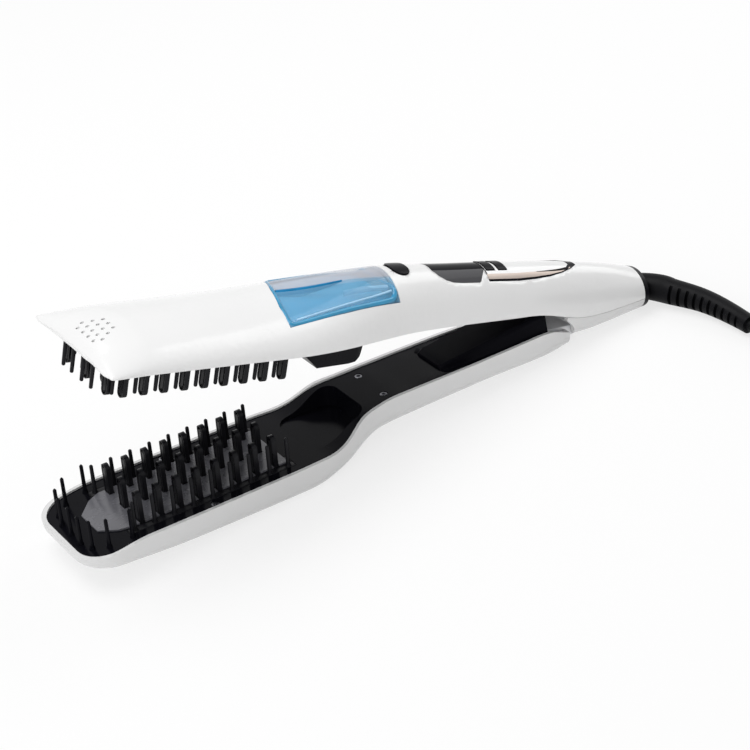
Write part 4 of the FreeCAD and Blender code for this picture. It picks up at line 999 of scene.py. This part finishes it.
def panel_half(tree, x):
    """Half width of the centre panel at this place of the arm, in millimetres."""
    half = 0.0
    while half < PANEL_LARGEST_HALF and skin_under(tree, x, -half) is not None:
        half += PANEL_SEARCH_STEP
    return half


def add_panel_lip(black):
    """Black lip that widens round the rear end of the centre panel."""
    panel = skin_tree("centre_panel")
    skin = skin_tree("centre_panel", "trim_near", "trim_far", "control_surround", "upper_shell")
    side = [(x, panel_half(panel, x) + LIP_SPREAD * k, LIP_START + LIP_GROWTH * k)
            for k, x in enumerate(LIP_PLACES)]
    lip = [(x, -half, radius) for x, half, radius in side]
    lip += [(LIP_REAR, 0.0, LIP_REAR_RADIUS)] + side[::-1]
    points = [on_skin(skin, x, y, radius * LIP_SUNK) for x, y, radius in lip]
    radii = [radius for x, y, radius in lip]
    tube("panel_lip", points, radii, black, "upper_arm")


class STEAM_BRUSH_OT_controls(bpy.types.Operator):
    """Finishes the window, the buttons, the trims and the centre panel"""

    bl_idname = "steam_brush.controls"
    bl_label = "Controls"

    def execute(self, context):
        # The window's bands paint light on its near side and black beyond the crest.
        paint("window_black", "display_window", bands=WINDOW_PAINTED_LIGHT_BANDS)
        surround = paint("surround_black", "control_surround")
        add_panel_lip(surround)
        paint("button_black", "steam_button", "plus_button", "minus_button")
        paint("rose_gold", "trim_near", "trim_far")
        paint("panel_white", "centre_panel")
        return {"FINISHED"}


# ---- water tank
# The corners of the tank's outline, each with how far from it the rounding starts.
TANK_CORNERS = ((90.5, -24.2, 2.5), (92.1, -11.6, 3.0), (97.2, 4.8, 3.0), (104.0, 20.6, 2.0),
                (128.2, 20.1, 3.0), (152.5, 17.3, 4.0), (152.5, -17.3, 5.0),
                (121.5, -21.3, 3.0))
TANK_MIDDLE = Vector((122.0, 0.0))
CORNER_SHARES = (0.0, 0.25, 0.5, 0.75, 1.0)
# The rim bead is wider, and further in, where it has turned to the near side.
RIM_INSET = 0.75
RIM_RADIUS = 0.9
RIM_PROUD = 0.4
NEAR_SIDE = (11.0, 17.0)
NEAR_WIDER = 0.5
NEAR_INSET = 0.7
# The water's surface runs along the arm: places and radii of the bead that marks it.
WATER_EDGE = ((98.2, 1.9, 2.6), (103.0, 0.3, 2.5), (111.0, -1.6, 2.0), (120.0, -2.7, 1.3),
              (129.0, -3.2, 0.5))
WATER_PROUD = 0.45
WATER_LINE = 3.6
WATER_FALL = 0.17
WATER_FAR = WATER_LINE + TANK_CORNERS[2][0] * WATER_FALL
WATER_SPREAD = 28.0
# The tank is blue up to the water's surface, darkest beside it, and grey beyond.
TANK_BANDS = Bands(WATER_FAR - WATER_SPREAD, WATER_FAR,
                   ((0.0, "tank", 1.0), (0.93, "tank", 0.8),
                    (0.98, "tank_dry", 1.0), (1.0, "tank_dry", 1.0)), WATER_FALL)
SIDE_LEDGE = ((95.5, -20.9), (108.0, -19.4), (121.0, -17.7), (133.6, -16.1), (142.0, -14.9),
              (149.6, -13.4))
LEDGE_RADIUS = 0.6
LEDGE_SUNK = 0.5
# Places of the suction pipe, and how far each lies under the tank's skin.
SUCTION_PIPE = ((129.0, -6.0, 4.6), (136.0, -8.0, 3.2), (143.0, -9.4, 2.4), (149.6, -9.8, 2.6))
PIPE_RADIUS = 1.3


def tank_rim_points():
    """The tank's outline a little inside its edge, with rounded corners."""
    spots = [Vector((x, y)) for x, y, size in TANK_CORNERS]
    spots = [spot + (TANK_MIDDLE - spot).normalized() * RIM_INSET for spot in spots]
    points = []
    for k, (spot, corner) in enumerate(zip(spots, TANK_CORNERS)):
        before, after = spots[k - 1], spots[(k + 1) % len(spots)]
        start = spot + (before - spot).normalized() * corner[2]
        end = spot + (after - spot).normalized() * corner[2]
        for share in CORNER_SHARES:
            points.append(start.lerp(spot, share).lerp(spot.lerp(end, share), share))
    return points


def add_tank_rim(skin):
    points, radii = [], []
    for spot in tank_rim_points():
        near = eased(-spot.y, *NEAR_SIDE)
        radius = RIM_RADIUS + NEAR_WIDER * near
        points.append(on_skin(skin, spot.x, spot.y + NEAR_INSET * near, radius - RIM_PROUD))
        radii.append(radius)
    tube("tank_edge", points, radii, make_finish("tank_rim_blue"), "tank",
         closed=True)


def add_water_line(skin):
    points = [on_skin(skin, x, y, radius - WATER_PROUD) for x, y, radius in WATER_EDGE]
    radii = [radius for x, y, radius in WATER_EDGE]
    tube("water_line", points, radii, make_finish("tank_edge_blue"), "tank")


def add_tank_fittings(skin):
    """The ledge along the tank's near side, and the pipe that draws up the water; their pale
    colour is painted highlight.
    """
    pale = make_finish("tank_fitting_pale")
    ledge = [on_skin(skin, x, y, LEDGE_SUNK) for x, y in SIDE_LEDGE]
    tube("tank_side_ledge", ledge, [LEDGE_RADIUS] * len(ledge), pale, "tank")
    pipe = [on_skin(skin, x, y, sunk) for x, y, sunk in SUCTION_PIPE]
    tube("tank_suction_pipe", pipe, [PIPE_RADIUS] * len(pipe), pale, "tank")


class STEAM_BRUSH_OT_water_tank(bpy.types.Operator):
    """Finishes the lift-out tank and its water"""

    bl_idname = "steam_brush.water_tank"
    bl_label = "Water Tank"

    def execute(self, context):
        paint("tank_plastic", "water_tank", bands=TANK_BANDS)
        skin = skin_tree("water_tank")
        add_tank_rim(skin)
        add_water_line(skin)
        add_tank_fittings(skin)
        paint("tank_water_blue", "tank_water")
        paint("tank_rubber", "tank_stopper")
        paint("bay_pale", "tank_bay")
        return {"FINISHED"}


# ---- hinge and works
class STEAM_BRUSH_OT_works(bpy.types.Operator):
    """Finishes the hinge pin, its spring and the parts inside the arms"""

    bl_idname = "steam_brush.works"
    bl_label = "Hinge and Works"

    def execute(self, context):
        paint("bright_steel", "hinge_pin", "hinge_spring")
        paint("cast_aluminium", "upper_heater", "lower_heater", "steam_boiler")
        paint("circuit_green", "circuit_board")
        paint("inner_grey", "pump", "thermal_fuse", "display_module", "wiring")
        return {"FINISHED"}


# ---- stage
CAMERA_SPOT = Vector((-422.24, -739.51, 559.73))
CAMERA_RIGHT = Vector((0.82336, -0.55659, -0.11080))
CAMERA_DOWN = Vector((-0.37630, -0.38928, -0.84076))
CAMERA_FORWARD = Vector((0.42482, 0.73394, -0.52996))
CAMERA_RANGE = (0.05, 20.0)
LENS = 104.22
SENSOR = 36.0
FLOOR_SIZE = 8.0
FLOOR_COLOUR = (0.86, 0.86, 0.86, 1.0)
FLOOR_GLOW = 0.72
WORLD_LIGHT = 0.5
# Each lamp's name, place, target, size and power.
LAMPS = (("top_softbox", (-0.25, 0.35, 1.3), (0.0, 0.0, 0.05), (1.1, 0.9), 11.0),
         ("front_softbox", (-1.1, -1.0, 0.7), (0.0, 0.0, 0.05), (0.8, 0.6), 5.8),
         ("tail_softbox", (1.1, 0.2, 0.7), (0.1, 0.0, 0.05), (0.6, 0.8), 3.0))


def add_camera(context):
    """The camera that sees the tool from above its near side."""
    lens = bpy.data.cameras.new("view_camera")
    lens.lens = LENS
    lens.sensor_width = SENSOR
    lens.clip_start, lens.clip_end = CAMERA_RANGE
    camera = bpy.data.objects.new("view_camera", lens)
    context.scene.collection.objects.link(camera)
    turned = Matrix((CAMERA_RIGHT, -CAMERA_DOWN, -CAMERA_FORWARD)).transposed().to_4x4()
    camera.matrix_world = Matrix.Translation(CAMERA_SPOT * MM) @ turned
    context.scene.camera = camera


def add_softbox(context, name, spot, target, size, power):
    light = bpy.data.lights.new(name, "AREA")
    light.shape = "RECTANGLE"
    light.size, light.size_y = size
    light.energy = power
    lamp = bpy.data.objects.new(name, light)
    context.scene.collection.objects.link(lamp)
    lamp.location = spot
    aim = Vector(target) - Vector(spot)
    lamp.rotation_euler = aim.to_track_quat("-Z", "Y").to_euler()


def background_rays(tree):
    """1 for rays that should see a plain white background, 0 for those that light the tool."""
    path = add_node(tree, "ShaderNodeLightPath")
    seen = path.outputs["Is Camera Ray"]
    for ray in ("Is Glossy Ray", "Is Transmission Ray"):
        either = add_node(tree, "ShaderNodeMath", operation="MAXIMUM")
        tree.links.new(seen, either.inputs[0])
        tree.links.new(path.outputs[ray], either.inputs[1])
        seen = either.outputs[0]
    return seen


def add_mix(tree, share, lit, seen, out):
    """Shows the shader seen for the share, and the lit one for the rest."""
    mix = add_node(tree, "ShaderNodeMixShader")
    tree.links.new(share, mix.inputs["Fac"])
    tree.links.new(lit.outputs[0], mix.inputs[1])
    tree.links.new(seen.outputs[0], mix.inputs[2])
    tree.links.new(mix.outputs["Shader"], out.inputs["Surface"])


def floor_finish():
    """White floor that keeps a soft shadow and reads as the background to the camera."""
    material = bpy.data.materials.new("floor_white")
    material.use_nodes = True
    tree = material.node_tree
    tree.nodes.clear()
    paper = add_node(tree, "ShaderNodeBsdfDiffuse", Color=FLOOR_COLOUR)
    glow = add_node(tree, "ShaderNodeEmission", Strength=1.0)
    share = add_node(tree, "ShaderNodeMath", operation="MULTIPLY")
    share.inputs[1].default_value = FLOOR_GLOW
    tree.links.new(background_rays(tree), share.inputs[0])
    out = add_node(tree, "ShaderNodeOutputMaterial")
    add_mix(tree, share.outputs[0], paper, glow, out)
    return material


def add_floor():
    floor = primitive("plane", size=FLOOR_SIZE, location=(0.0, 0.0, 0.0))
    floor.name = "floor"
    floor.data.materials.append(floor_finish())


def dress_world(context):
    """Soft white light all round, behind which the background reads as white."""
    world = bpy.data.worlds.new("studio")
    world.use_nodes = True
    context.scene.world = world
    tree = world.node_tree
    soft = tree.nodes["Background"]
    soft.inputs["Color"].default_value = (1.0, 1.0, 1.0, 1.0)
    soft.inputs["Strength"].default_value = WORLD_LIGHT
    white = add_node(tree, "ShaderNodeBackground", Strength=1.0)
    add_mix(tree, background_rays(tree), soft, white, tree.nodes["World Output"])


class STEAM_BRUSH_OT_stage(bpy.types.Operator):
    """Sets up the camera, the floor and the soft studio lamps"""

    bl_idname = "steam_brush.stage"
    bl_label = "Stage"

    def execute(self, context):
        context.scene.view_settings.view_transform = "Standard"
        add_camera(context)
        add_floor()
        dress_world(context)
        for lamp in LAMPS:
            add_softbox(context, *lamp)
        return {"FINISHED"}


# ---- panel and registration
STEPS = (STEAM_BRUSH_OT_stage, STEAM_BRUSH_OT_mains_cord, STEAM_BRUSH_OT_shells,
         STEAM_BRUSH_OT_combs, STEAM_BRUSH_OT_controls, STEAM_BRUSH_OT_water_tank,
         STEAM_BRUSH_OT_works)


class VIEW3D_PT_steam_brush(bpy.types.Panel):
    """Lists the sizes, the colours and the steps"""

    bl_idname = "VIEW3D_PT_steam_brush"
    bl_label = "Steam Brush"
    bl_space_type = "VIEW_3D"
    bl_region_type = "UI"
    bl_category = "Steam Brush"

    def draw(self, context):
        layout = self.layout
        for group in (context.scene.steam_brush_sizes, context.scene.steam_brush_colours):
            box = layout.box()
            for key in group.__annotations__:
                box.prop(group, key)
        for step in STEPS:
            layout.operator(step.bl_idname)


CLASSES = (SteamBrushSizes, SteamBrushColours, *STEPS, VIEW3D_PT_steam_brush)


def register():
    for made in CLASSES:
        bpy.utils.register_class(made)
    bpy.types.Scene.steam_brush_sizes = PointerProperty(type=SteamBrushSizes)
    bpy.types.Scene.steam_brush_colours = PointerProperty(type=SteamBrushColours)


def unregister():
    del bpy.types.Scene.steam_brush_colours
    del bpy.types.Scene.steam_brush_sizes
    for made in reversed(CLASSES):
        bpy.utils.unregister_class(made)


def main():
    register()
    for step in STEPS:
        group, name = step.bl_idname.split(".")
        getattr(getattr(bpy.ops, group), name)()
    bpy.context.view_layer.update()


if __name__ == "__main__":
    main()
